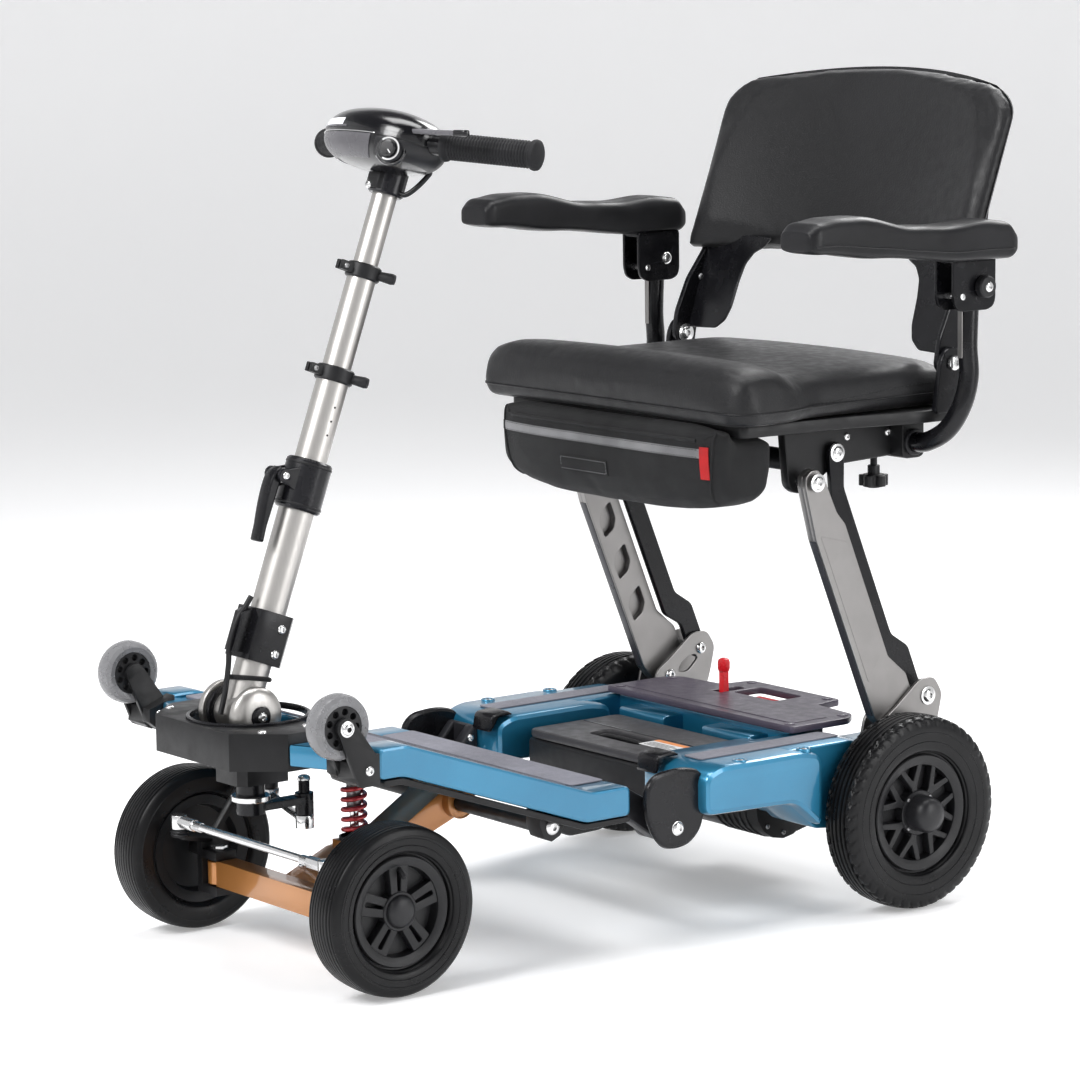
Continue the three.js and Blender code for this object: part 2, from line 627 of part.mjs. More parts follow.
function seatBase() {
  const parts = [
    slab([[-225, 441], [225, 441], [232, 600], [238, 700], [238, 756], [-238, 756], [-238, 700], [-232, 600]],
      [531, SEAT.bottom - GAP]),
    rodX(12, [-178, 178], 565, 494, 16),
  ];
  for (const s of [1, -1]) {
    const { hingeY: hy, hingeZ: hz } = BACKREST;
    parts.push(side([[536, 470], [548, 461], [562, 463], [604, 488], [700, 492], [722, 500], [722, 533],
      [530, 533]],
      ordered(s, [172, 184])));
    parts.push(rodX(PIVOT.pin, ordered(s, [180, 212]), LEG.topY, LEG.topZ, 12));
    parts.push(rodX(PIVOT.head, ordered(s, [210.6, 214.6]), LEG.topY, LEG.topZ, 12));
    parts.push(rodX(PIVOT.pin, ordered(s, [180, LINK.outer + 1]), LINK.topY, LINK.topZ, 12));
    parts.push(block(ordered(s, [118, 204]), [ARM.y - 16, ARM.y + 16], [ARM.z - 16, 532]));
    parts.push(side([[hy - 26, 540], [hy + 26, 540], [hy + 17, hz + 6], [hy + 6, hz + 17],
      [hy - 8, hz + 17], [hy - 17, hz + 4]],
      ordered(s, [231, 238])));
    parts.push(rodX(7, ordered(s, [223, 241]), hy, hz, 16));
  }
  const tools = [];
  for (const s of [1, -1]) {
    tools.push(rodX(ARM.radius + 0.4, ordered(s, [80, 240]), ARM.y, ARM.z, 14));
    tools.push(rodZ(4.4, s * ARM.knobX, ARM.y, [480, 500], 12));
  }
  return cut(join(...parts), ...tools);
}

function seatCushion() {
  const { front, back, bottom, top, crest, halfFront, halfBack } = SEAT;
  const halfAt = (v) => {
    const straight = halfFront + (halfBack - halfFront) * Math.min(1, Math.max(0, (v - 0.25) / 0.45));
    const round = Math.min(v, 1 - v);
    return straight - 26 * Math.max(0, 1 - round / 0.1) ** 2;
  };
  const y = (v) => front + (back - front) * v;
  const under = (u, v) => [(2 * u - 1) * halfAt(v) * 0.985, y(v * 0.98 + 0.01), bottom];
  const over = (u, v) => {
    const across = 1 - Math.abs(2 * u - 1) ** 6;
    const along = Math.min(1, v / 0.08) * Math.min(1, (1 - v) / 0.06);
    const swell = top - 12 + (crest - top + 12) * Math.exp(-(((v - 0.12) / 0.14) ** 2)) * 0.8;
    return [(2 * u - 1) * halfAt(v), y(v), bottom + 22 + (swell - bottom - 22) * across ** 0.5 * along ** 0.5];
  };
  return sheet(under, over, 10, 12);
}

function seatBag() {
  const edge = [[421, 462], [433, 446], [500, 446], [516, 470], [516, 530.5], [440, 530.5], [440, 544.4],
    [421, 544.4]];
  const middle = side(edge, [-172, 172]);
  const ends = [1, -1].map((s) => side([[430, 468], [440, 452], [495, 452], [510, 474], [510, 530.5],
    [440, 530.5],
    [440, 544.4], [430, 544.4]], ordered(s, [170, 200])));
  const body = join(middle, ...ends);
  const plates = [1, -1].map((s) => block(ordered(s, [171.5, 184.5]), [505, 530], [440, 540]));
  return cut(body, ...plates);
}

function backSurface(depthBack, grow) {
  const { bottom, top, crown, half } = BACKREST;
  return (u, v) => {
    const x = 2 * u - 1;
    const narrow = 36 * Math.max(0, (v - 0.8) / 0.2) ** 2.4;
    const wide = half + grow - narrow;
    const z = bottom - grow + (top - bottom + 2 * grow) * v + crown * v * (1 - x * x);
    const sideY = 730 + (803 - 730) * v;
    const bow = (58 - 24 * v) * (1 - x * x);
    return [x * wide, sideY + bow + depthBack, z];
  };
}

function backrestPad() {
  return sheet(backSurface(0, -4), backSurface(BACKREST.padThick, 0), 12, 8);
}

function backrestShell() {
  const { padThick, shellThick, hingeY: hy, hingeZ: hz } = BACKREST;
  const panel = sheet(backSurface(padThick + GAP, 0), backSurface(padThick + GAP + shellThick, -3), 12, 8);
  const legs = [1, -1].map((s) => cut(
    side([[hy - 17, hz - 4], [hy - 12, hz + 26], [hy + 6, 660], [hy + 32, 694], [hy + 51, 745],
      [hy + 62, 770], [hy + 56, 720],
      [hy + 48, 690], [hy + 34, 650], [hy + 18, hz + 10], [hy + 14, hz - 12], [hy - 4, hz - 18]],
        ordered(s, [223.3, 230.6])),
    rodX(7.5, ordered(s, [215, 235]), hy, hz, 16),
  ));
  return join(panel, ...legs);
}

function armrestTube(s) {
  const { y, z, radius, postX, postY, topZ, padPivotY, padPivotZ } = ARM;
  const bend = smooth([[s * 206, y, z], [s * 228, y + 1, z + 3], [s * 252, y + 7, z + 18],
    [s * 267, y + 14, z + 45],
    [s * postX, postY + 2, z + 76], [s * postX, postY, z + 110]]);
  const stem = rodX(radius, ordered(s, [120, 208]), y, z, 12);
  const post = rod([s * postX, postY, z + 108], [s * postX, postY + 3, topZ], radius, 12);
  const body = join(stem, swept(bend, radius, 10, 8), post, rodX(9, ordered(s, [postX - 11, postX + 11]),
    padPivotY, padPivotZ, 16));
  return cut(body, rodX(5.4, ordered(s, [postX - 20, postX + 20]), padPivotY, padPivotZ, 16));
}

function armrestPad(s) {
  const { postX, padPivotY: py, padPivotZ: pz } = ARM;
  const wave = [[461, 738], [463, 752], [474, 762], [500, 767], [532, 767], [570, 760], [612, 751],
    [660, 750], [715, 755],
    [742, 752], [757, 742], [759, 720], [750, 713], [690, 713], [560, 724], [480, 733]];
  const cushion = side(wave, ordered(s, [postX - 12, postX + 36]));
  const slim = side(wave.map(([a, b]) => [610 + (a - 610) * 0.97, 738 + (b - 738) * 0.8]),
    ordered(s, [postX - 17, postX + 41]));
  const cheek = (range) => side([[py - 42, 714], [py - 42, 672], [py - 30, 656], [py + 8, 656],
    [py + 20, 668], [py + 20, 714]],
    range);
  const plates = [cheek(ordered(s, [postX - 15.5, postX - 11.7])),
    cheek(ordered(s, [postX + 11.7, postX + 15.5]))];
  const cap = block(ordered(s, [postX - 15.5, postX + 15.5]), [py - 42, py + 20], [708, 716]);
  const pin = rodX(5, ordered(s, [postX - 14, postX + 17]), py, pz, 12);
  const knob = rodX(12, ordered(s, [postX + 15, postX + 26]), py, pz, 16);
  return join(cushion, slim, ...plates, cap, pin, knob);
}

function starKnob(s) {
  const x = s * ARM.knobX;
  const bottom = 451;
  const lobes = [];
  for (let i = 0; i < 5; i += 1) {
    const a = (2 * Math.PI * i) / 5;
    lobes.push(rodZ(6, x + 11 * Math.cos(a), ARM.y + 11 * Math.sin(a), [bottom + 1, bottom + 13], 10));
  }
  const head = rodZ(12, x, ARM.y, [bottom, bottom + 14], 16);
  const collar = rodZ(7, x, ARM.y, [bottom + 13, bottom + 24], 12);
  const stud = rodZ(4, x, ARM.y, [bottom + 23, ARM.z - ARM.radius - 0.5], 12);
  return join(head, collar, stud, ...lobes);
}

// ---- assembly -------------------------------------------------------------------------

const PIECES = [
  ['rear_frame', rearFrame(), 'blue'],
  ['rear_hinge_left', rearHinge(1), 'black'],
  ['rear_hinge_right', rearHinge(-1), 'black'],
  ['rear_plate', rearPlate(), 'grey'],
  ['seat_bracket_left', seatBracket(1), 'silver'],
  ['seat_bracket_right', seatBracket(-1), 'silver'],
  ['transaxle', transaxle(), 'black'],
  ['battery', battery(), 'black'],
  ['freewheel_lever', freewheelLever(), 'red'],
  ['rear_tyre_left', tyre(REAR_WHEEL, 1), 'black'],
  ['rear_rim_left', rearRim(1), 'black'],
  ['rear_tyre_right', tyre(REAR_WHEEL, -1), 'black'],
  ['rear_rim_right', rearRim(-1), 'black'],
  ['front_frame', frontFrame(), 'blue'],
  ['nose_bracket', noseBracket(), 'black'],
  ['trolley_arm_left', trolleyArm(1), 'black'],
  ['trolley_arm_right', trolleyArm(-1), 'black'],
  ['trolley_wheel_left', trolleyWheel(1), 'grey'],
  ['trolley_wheel_right', trolleyWheel(-1), 'grey'],
  ['pivot_tube', pivotTube(), 'black'],
  ['suspension_arm', suspensionArm(), 'orange'],
  ['coil_spring', coilSpring(), 'red'],
  ['damper_body', damperBody(), 'grey'],
  ['damper_rod', damperRod(), 'silver'],
  ['knuckle_left', knuckle(1), 'black'],
  ['knuckle_right', knuckle(-1), 'black'],
  ['front_tyre_left', tyre(FRONT_WHEEL, 1), 'black'],
  ['front_rim_left', frontRim(1), 'black'],
  ['front_tyre_right', tyre(FRONT_WHEEL, -1), 'black'],
  ['front_rim_right', frontRim(-1), 'black'],
  ['tie_rod', tieRod(), 'silver'],
  ['drag_link', dragLink(), 'silver'],
  ['steering_post', steeringPost(), 'black'],
  ['tiller_base', tillerBase(), 'silver'],
  ['tiller_sleeve', tillerSleeve(), 'black'],
  ['tube_clamp', tubeClamp(), 'black'],
  ['clamp_lever', clampLever(), 'black'],
  ['lower_tube', lowerTube(), 'silver'],
  ['middle_tube', middleTube(), 'silver'],
  ['top_tube', topTube(), 'silver'],
  ['console', consoleBody(), 'black'],
  ['grip_left', grip(1), 'black'],
  ['grip_right', grip(-1), 'black'],
  ['speed_dial', speedDial(), 'black'],
  ['throttle_lever', throttleLever(), 'grey'],
  ['seat_leg_left', seatLeg(1), 'silver'],
  ['seat_leg_right', seatLeg(-1), 'silver'],
  ['seat_link_left', seatLink(1), 'black'],
  ['seat_link_right', seatLink(-1), 'black'],
  ['seat_base', seatBase(), 'black'],
  ['seat_cushion', seatCushion(), 'black'],
  ['seat_bag', seatBag(), 'black'],
  ['backrest_shell', backrestShell(), 'black'],
  ['backrest_pad', backrestPad(), 'black'],
  ['armrest_tube_left', armrestTube(1), 'black'],
  ['armrest_tube_right', armrestTube(-1), 'black'],
  ['armrest_pad_left', armrestPad(1), 'black'],
  ['armrest_pad_right', armrestPad(-1), 'black'],
  ['star_knob_left', starKnob(1), 'black'],
  ['star_knob_right', starKnob(-1), 'black'],
];

const METAL = { silver: 0.9, orange: 0.7, blue: 0.5 };

function mesh(name, body, colour) {
  const { vertProperties, triVerts } = body.getMesh();
  const g = new THREE.BufferGeometry();
  g.setAttribute('position', new THREE.BufferAttribute(Float32Array.from(vertProperties), 3));
  g.setIndex(Array.from(triVerts));
  const skin = { color: PAINT[colour], roughness: 0.5, metalness: METAL[colour] ?? 0.1 };
  const piece = new THREE.Mesh(g, new THREE.MeshStandardMaterial(skin));
  piece.name = name;
  return piece;
}

const scooter = new THREE.Group();
scooter.name = 'mobility_scooter';
PIECES.forEach(([name, body, colour]) => scooter.add(mesh(name, body, colour)));

// The origin is moved to the middle of the footprint of the whole scooter, on the floor.
const whole = new THREE.Box3().setFromObject(scooter);
const middle = whole.getCenter(new THREE.Vector3());
scooter.children.forEach((piece) => piece.geometry.translate(-middle.x, -middle.y, -whole.min.z));

export default scooter;
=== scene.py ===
"""Looks of a folding four-wheel mobility scooter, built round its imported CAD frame. Metres, +Z up."""
import json
import math

import bmesh
import bpy
from mathutils import Matrix, Vector, noise
from mathutils.bvhtree import BVHTree


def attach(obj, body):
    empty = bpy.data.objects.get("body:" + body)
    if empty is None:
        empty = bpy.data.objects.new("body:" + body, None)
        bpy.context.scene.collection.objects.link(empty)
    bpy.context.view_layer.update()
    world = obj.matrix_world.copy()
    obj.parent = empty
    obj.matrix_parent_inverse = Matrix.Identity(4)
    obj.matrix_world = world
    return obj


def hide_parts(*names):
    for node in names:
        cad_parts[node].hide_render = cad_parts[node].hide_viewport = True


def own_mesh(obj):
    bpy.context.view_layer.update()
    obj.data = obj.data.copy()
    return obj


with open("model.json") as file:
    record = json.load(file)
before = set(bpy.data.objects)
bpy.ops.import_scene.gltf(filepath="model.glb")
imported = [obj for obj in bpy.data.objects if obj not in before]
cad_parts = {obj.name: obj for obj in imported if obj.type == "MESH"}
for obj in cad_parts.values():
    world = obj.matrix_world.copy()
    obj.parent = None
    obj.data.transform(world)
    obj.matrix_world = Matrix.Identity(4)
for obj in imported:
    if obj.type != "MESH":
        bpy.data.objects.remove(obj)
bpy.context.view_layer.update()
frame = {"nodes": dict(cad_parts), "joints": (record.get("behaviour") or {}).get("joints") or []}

JOINTS = {joint["name"]: joint for joint in frame["joints"]}
AXLE_Y = JOINTS["front_wheel_left"]["pos_m"][1]
X_AXIS, Y_AXIS, Z_AXIS = Vector((1, 0, 0)), Vector((0, 1, 0)), Vector((0, 0, 1))
# Pivots that several pieces share: metres back from the front axle, and up.
FOLD_PIVOT = (0.345, 0.128)
BACK_PIVOT = (0.7274, 0.595)
PAD_PIVOT = (0.725, 0.682)
ARM_SOCKET = (0.7, 0.507)
LEG_FOOT, LEG_TOP = (0.665, 0.1966), (0.5514, 0.4762)
LINK_FOOT, LINK_TOP = (0.7118, 0.2233), (0.5982, 0.5029)
SIDES = (("left", 1), ("right", -1))


def at(x, y, z):
    """A point from the middle of the front axle, on the floor: left, back and up."""
    return Vector((x, AXLE_Y + y, z))


def joint_at(name):
    return Vector(JOINTS[name]["pos_m"])


TILLER_FOOT = joint_at("tiller_fold")
TILLER_UP = Vector(JOINTS["top_slide"]["axis"]).normalized()
TILLER_BACK = X_AXIS.cross(TILLER_UP) * -1


def tiller_at(x, back, up):
    """A point in the tiller's own frame: left, back and up along its tubes, from its fold pivot."""
    return TILLER_FOOT + X_AXIS * x + TILLER_BACK * back + TILLER_UP * up


# ---- materials ------------------------------------------------------------------------


class Surface:
    """A procedural material: colour, roughness and bump come from nodes in object space."""

    def __init__(self, name, colour, roughness, metallic=0.0):
        self.material = bpy.data.materials.new(name)
        self.material.use_nodes = True
        self.nodes = self.material.node_tree.nodes
        self.links = self.material.node_tree.links
        self.shader = self.nodes["Principled BSDF"]
        self.shader.inputs["Metallic"].default_value = metallic
        self.colour = (*colour, 1.0)
        self.shader.inputs["Base Color"].default_value = self.colour
        self.shader.inputs["Roughness"].default_value = roughness
        self.shader.inputs["Specular IOR Level"].default_value = 0.5 if metallic > 0.4 else 0.32
        self.roughness = roughness
        self.space = self.nodes.new("ShaderNodeTexCoord").outputs["Object"]
        self.colour_out = None
        self.bump_out = None

    def mapped(self, scale):
        mapping = self.nodes.new("ShaderNodeMapping")
        mapping.inputs["Scale"].default_value = scale
        self.links.new(self.space, mapping.inputs["Vector"])
        return mapping.outputs["Vector"]

    def noise(self, scale, detail=3.0, stretch=None):
        node = self.nodes.new("ShaderNodeTexNoise")
        node.inputs["Scale"].default_value = scale
        node.inputs["Detail"].default_value = detail
        self.links.new(self.mapped(stretch) if stretch else self.space, node.inputs["Vector"])
        return node.outputs["Fac"]

    def cells(self, scale):
        node = self.nodes.new("ShaderNodeTexVoronoi")
        node.inputs["Scale"].default_value = scale
        self.links.new(self.space, node.inputs["Vector"])
        return node.outputs["Distance"]

    def waves(self, scale, direction):
        node = self.nodes.new("ShaderNodeTexWave")
        node.bands_direction = direction
        node.inputs["Scale"].default_value = scale
        self.links.new(self.space, node.inputs["Vector"])
        return node.outputs["Fac"]

    def ranged(self, value, low, high, from_low=0.3, from_high=0.7):
        node = self.nodes.new("ShaderNodeMapRange")
        self.links.new(value, node.inputs["Value"])
        node.inputs["From Min"].default_value = from_low
        node.inputs["From Max"].default_value = from_high
        node.inputs["To Min"].default_value = low
        node.inputs["To Max"].default_value = high
        return node.outputs["Result"]

    def tinted(self, value, other, low=0.0, high=1.0, from_low=0.35, from_high=0.65):
        """Mixes another colour in where value is high."""
        mix = self.nodes.new("ShaderNodeMix")
        mix.data_type = "RGBA"
        if self.colour_out:
            self.links.new(self.colour_out, mix.inputs[6])
        else:
            mix.inputs[6].default_value = self.colour
        mix.inputs[7].default_value = (*other, 1.0)
        self.links.new(self.ranged(value, low, high, from_low, from_high), mix.inputs[0])
        self.colour_out = mix.outputs[2]
        self.links.new(self.colour_out, self.shader.inputs["Base Color"])
        return self

    def worn(self, other, amount=0.5):
        """Lighter, rubbed edges."""
        geometry = self.nodes.new("ShaderNodeNewGeometry")
        return self.tinted(geometry.outputs["Pointiness"], other, 0.0, amount, 0.53, 0.62)

    def uneven(self, value, spread=0.1):
        low, high = max(0.02, self.roughness - spread), min(1.0, self.roughness + spread)
        self.links.new(self.ranged(value, low, high), self.shader.inputs["Roughness"])
        return self

    def bumped(self, value, distance, strength=1.0):
        bump = self.nodes.new("ShaderNodeBump")
        bump.inputs["Distance"].default_value = distance
        bump.inputs["Strength"].default_value = strength
        self.links.new(value, bump.inputs["Height"])
        if self.bump_out:
            self.links.new(self.bump_out, bump.inputs["Normal"])
        self.bump_out = bump.outputs["Normal"]
        self.links.new(self.bump_out, self.shader.inputs["Normal"])
        return self

    def coated(self, weight, roughness=0.06):
        self.shader.inputs["Coat Weight"].default_value = weight
        self.shader.inputs["Coat Roughness"].default_value = roughness
        return self

    def sheened(self, weight, roughness=0.4):
        self.shader.inputs["Sheen Weight"].default_value = weight
        self.shader.inputs["Sheen Roughness"].default_value = roughness
        return self


def paint(name, colour, dark, light):
    """Metallic lacquer with fine flakes."""
    s = Surface(name, colour, 0.34, 0.55)
    s.tinted(s.cells(2600.0), light, 0.0, 0.22, 0.0, 0.5)
    s.tinted(s.noise(9.0), dark, 0.0, 0.25)
    s.worn(light, 0.25)
    s.bumped(s.noise(900.0, 2.0), 0.00004)
    return s.uneven(s.noise(14.0), 0.06).coated(0.8)


def powder_coat(name, colour, roughness=0.42):
    """Baked coat with a faint orange peel."""
    s = Surface(name, colour, roughness, 0.2)
    s.tinted(s.noise(35.0), [c * 1.6 for c in colour], 0.0, 0.6)
    s.worn([min(1.0, c * 5) for c in colour], 0.5)
    s.bumped(s.noise(1400.0, 2.0), 0.00008, 0.7)
    return s.uneven(s.noise(60.0), 0.08)


def moulded(name, colour, roughness=0.5):
    """Moulded plastic with a fine spark-eroded texture."""
    s = Surface(name, colour, roughness)
    s.tinted(s.noise(25.0), [c * 1.5 for c in colour], 0.0, 0.5)
    s.worn([min(1.0, c * 3) for c in colour], 0.35)
    s.bumped(s.cells(1300.0), 0.00012, 0.6)
    return s.uneven(s.noise(80.0), 0.08)


def brushed(name, colour, stretch, roughness=0.3):
    """Bare aluminium with fine lines along the long direction."""
    s = Surface(name, colour, roughness, 0.95)
    lines = s.noise(1.0, 2.0, stretch)
    s.tinted(lines, [c * 0.88 for c in colour], 0.0, 0.6)
    s.tinted(s.noise(7.0), [c * 0.92 for c in colour], 0.0, 0.4)
    s.bumped(lines, 0.000006, 0.5)
    return s.uneven(lines, 0.04)


def rubber(name, colour, roughness=0.62):
    s = Surface(name, colour, roughness)
    s.shader.inputs["Specular IOR Level"].default_value = 0.2
    s.tinted(s.noise(18.0, 5.0), [c * 1.7 + 0.002 for c in colour], 0.0, 0.6)
    s.worn([c * 2.2 + 0.01 for c in colour], 0.4)
    s.bumped(s.noise(700.0, 4.0), 0.00018, 0.6)
    return s.uneven(s.noise(40.0), 0.1)


def vinyl(name, colour):
    """Upholstery vinyl: fine leather grain over softer creases."""
    s = Surface(name, colour, 0.44)
    s.shader.inputs["Specular IOR Level"].default_value = 0.24
    grain = s.cells(520.0)
    s.tinted(grain, [c * 0.6 for c in colour], 0.0, 0.5, 0.1, 0.5)
    s.tinted(s.noise(6.0), [c * 1.35 for c in colour], 0.0, 0.6)
    s.bumped(s.noise(38.0, 4.0), 0.0006, 0.35)
    s.bumped(grain, 0.00028, 0.55)
    return s.uneven(s.noise(90.0), 0.07).sheened(0.04)


def woven(name, colour, scale=950.0, roughness=0.8):
    """Plain-weave bag cloth: two crossing sets of threads."""
    s = Surface(name, colour, roughness)
    across, up = s.waves(scale, "DIAGONAL"), s.waves(scale, "Z")
    s.tinted(across, [c * 0.45 for c in colour], 0.0, 0.7, 0.2, 0.8)
    s.tinted(s.noise(20.0), [c * 1.8 for c in colour], 0.0, 0.5)
    s.bumped(across, 0.00025, 0.8)
    s.bumped(up, 0.00025, 0.8)
    return s.uneven(s.noise(50.0), 0.06).sheened(0.1)


def grit(name, colour):
    """Sandy non-slip sheet."""
    s = Surface(name, colour, 0.6)
    sand = s.cells(1500.0)
    s.tinted(sand, [c * 0.62 for c in colour], 0.0, 0.7, 0.15, 0.6)
    s.tinted(s.noise(15.0), [c * 1.12 for c in colour], 0.0, 0.6)
    s.bumped(sand, 0.0003, 0.8)
    return s.uneven(s.noise(120.0), 0.1)


def clear_wheel(name, colour):
    """Cloudy translucent urethane."""
    s = Surface(name, colour, 0.28)
    s.shader.inputs["Transmission Weight"].default_value = 0.35
    s.shader.inputs["IOR"].default_value = 1.45
    s.tinted(s.noise(60.0, 4.0), [c * 0.65 for c in colour], 0.0, 0.5)
    s.bumped(s.noise(300.0, 3.0), 0.0001, 0.5)
    return s.uneven(s.noise(70.0), 0.08)


MATERIALS = {
    "blue": paint("blue_lacquer", (0.006, 0.128, 0.245), (0.003, 0.062, 0.135), (0.045, 0.34, 0.54)),
    "orange": paint("bronze_lacquer", (0.38, 0.14, 0.026), (0.2, 0.06, 0.008), (0.6, 0.28, 0.09)),
    "red_lacquer": paint("red_lacquer", (0.4, 0.012, 0.016), (0.2, 0.004, 0.006), (0.7, 0.06, 0.07)),
    "black_coat": powder_coat("black_coat", (0.0055, 0.0055, 0.006)),
    "satin_coat": powder_coat("black_gloss_coat", (0.0045, 0.0045, 0.0055), 0.24),
    "grey_cast": powder_coat("grey_cast", (0.012, 0.012, 0.014), 0.34),
    "black_plastic": moulded("black_plastic", (0.007, 0.007, 0.008)),
    "dark_plastic": moulded("dark_plastic", (0.011, 0.011, 0.0125), 0.4),
    "plate_plastic": moulded("plate_plastic", (0.055, 0.046, 0.066), 0.36),
    "lid_plastic": moulded("lid_plastic", (0.032, 0.031, 0.034), 0.4),
    "red_plastic": moulded("red_plastic", (0.56, 0.01, 0.016), 0.28),
    "silver_plastic": moulded("silver_plastic", (0.085, 0.083, 0.09), 0.26),
    "rim_plastic": moulded("rim_plastic", (0.007, 0.007, 0.008), 0.42),
    "gloss_black": moulded("gloss_black", (0.003, 0.003, 0.004), 0.12).coated(0.5),
    "label": moulded("label", (0.55, 0.55, 0.55), 0.4),
    "label_band": moulded("label_band", (0.6, 0.2, 0.06), 0.4),
    "lamp": moulded("lamp", (0.75, 0.76, 0.8), 0.12).coated(0.8),
    "tube": brushed("tube_aluminium", (0.5, 0.485, 0.465), (420.0, 420.0, 9.0), 0.36),
    "plate_metal": brushed("plate_aluminium", (0.26, 0.252, 0.247), (500.0, 30.0, 30.0), 0.4),
    "bright": brushed("bright_steel", (0.72, 0.72, 0.72), (260.0, 260.0, 260.0), 0.18),
    "dull_metal": brushed("dull_aluminium", (0.34, 0.34, 0.345), (120.0, 120.0, 120.0), 0.42),
    "tyre": rubber("tyre_rubber", (0.004, 0.004, 0.0045), 0.34),
    "grip": rubber("grip_rubber", (0.007, 0.007, 0.008)),
    "armrest": rubber("armrest_foam", (0.008, 0.008, 0.009), 0.4),
    "vinyl": vinyl("seat_vinyl", (0.0115, 0.0115, 0.0125)),
    "piping": vinyl("seat_piping", (0.007, 0.007, 0.008)),
    "bag": woven("bag_cloth", (0.0055, 0.0055, 0.0065)),
    "strip": woven("reflective_strip", (0.3, 0.3, 0.31), 1300.0, 0.45),
    "red_cloth": woven("red_tab", (0.62, 0.012, 0.014), 1300.0, 0.7),
    "grit": grit("grip_sheet", (0.2, 0.2, 0.235)),
    "dark_grit": grit("dark_grip_sheet", (0.1, 0.1, 0.115)),
    "clear": clear_wheel("trolley_urethane", (0.27, 0.27, 0.28)),
}

# ---- making pieces --------------------------------------------------------------------


def show(obj, look, body, crease=35.0, stands_for=()):
    """Gives a piece its material and shading, and lets it ride on a body."""
    obj.data.materials.clear()
    obj.data.materials.append(MATERIALS[look].material)
    if obj.type == "MESH":
        obj.data.polygons.foreach_set("use_smooth", [True] * len(obj.data.polygons))
        obj.data.set_sharp_from_angle(angle=math.radians(crease))
    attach(obj, body)
    if stands_for:
        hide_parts(*stands_for)
    return obj


def linked(name, mesh):
    """A new object in the scene that holds a mesh."""
    obj = bpy.data.objects.new(name, mesh)
    bpy.context.scene.collection.objects.link(obj)
    return obj


def from_lists(name, points, faces):
    mesh = bpy.data.meshes.new(name)
    mesh.from_pydata([tuple(p) for p in points], [], faces)
    mesh.validate()
    return linked(name, mesh)


def applied(obj):
    """The piece with its modifiers made real."""
    bpy.context.view_layer.update()
    depsgraph = bpy.context.evaluated_depsgraph_get()
    mesh = bpy.data.meshes.new_from_object(obj.evaluated_get(depsgraph))
    name = obj.name
    matrix = obj.matrix_world.copy()
    bpy.data.objects.remove(obj)
    mesh.name = name
    result = linked(name, mesh)
    result.matrix_world = matrix
    return result


def bevelled(obj, width, segments=2, angle=30.0):
    modifier = obj.modifiers.new("edges", "BEVEL")
    modifier.width = width
    modifier.segments = segments
    modifier.limit_method = "ANGLE"
    modifier.angle_limit = math.radians(angle)
    modifier.miter_outer = "MITER_ARC"
    return applied(obj)


def refined(node, look, body, width=0.0008, segments=2):
    """A CAD node's own shape with rounded edges, standing for that node."""
    mesh = frame["nodes"][node].data.copy()
    work = bmesh.new()
    work.from_mesh(mesh)
    bmesh.ops.remove_doubles(work, verts=work.verts, dist=0.00002)
    bmesh.ops.dissolve_limit(work, angle_limit=math.radians(1.0), verts=work.verts, edges=work.edges)
    work.to_mesh(mesh)
    work.free()
    obj = linked(node + "_body", mesh)
    return show(bevelled(obj, width, segments), look, body, 40.0, (node,))


def revolved(name, profile, origin, turn, sides):
    """A mesh made by turning a profile of (radius, along) points once round."""
    points, rings, faces = [], [], []
    for radius, along in profile:
        count = 1 if radius < 1e-6 else sides
        rings.append([len(points) + i % count for i in range(sides)])
        for i in range(count):
            a = 2 * math.pi * i / sides
            points.append(Vector((radius * math.cos(a) if count > 1 else 0, radius * math.sin(a), along)))
    for low, high in zip(rings, rings[1:]):
        for i in range(sides):
            j = (i + 1) % sides
            corners = [low[i], low[j], high[j], high[i]]
            face = [c for k, c in enumerate(corners) if c not in corners[:k]]
            if len(face) > 2:
                faces.append(face)
    return from_lists(name, [Vector(origin) + turn @ p for p in points], faces)


def turned(name, profile, origin, axis, look, body, sides=48, stands_for=()):
    """A piece made by turning a profile of (radius, along) points about an axis."""
    turn = Z_AXIS.rotation_difference(Vector(axis).normalized())
    return show(outward(revolved(name, profile, origin, turn, sides)), look, body, 35.0, stands_for)


def outward(obj):
    """The piece with every face turned outwards."""
    work = bmesh.new()
    work.from_mesh(obj.data)
    bmesh.ops.recalc_face_normals(work, faces=work.faces)
    work.to_mesh(obj.data)
    work.free()
    return obj


def merged(obj, distance):
    """The piece with points closer than a distance joined."""
    work = bmesh.new()
    work.from_mesh(obj.data)
    bmesh.ops.remove_doubles(work, verts=work.verts, dist=distance)
    work.to_mesh(obj.data)
    work.free()
    return obj


def lofted(name, rings):
    """A closed form through rings of points, its two ends filled."""
    count, last = len(rings[0]), len(rings) - 1
    faces = []
    for i in range(last):
        for k in range(count):
            m = (k + 1) % count
            faces.append((i * count + k, i * count + m, (i + 1) * count + m, (i + 1) * count + k))
    faces.append(tuple(range(count)))
    faces.append(tuple(last * count + k for k in range(count)))
    return outward(from_lists(name, [p for ring in rings for p in ring], faces))


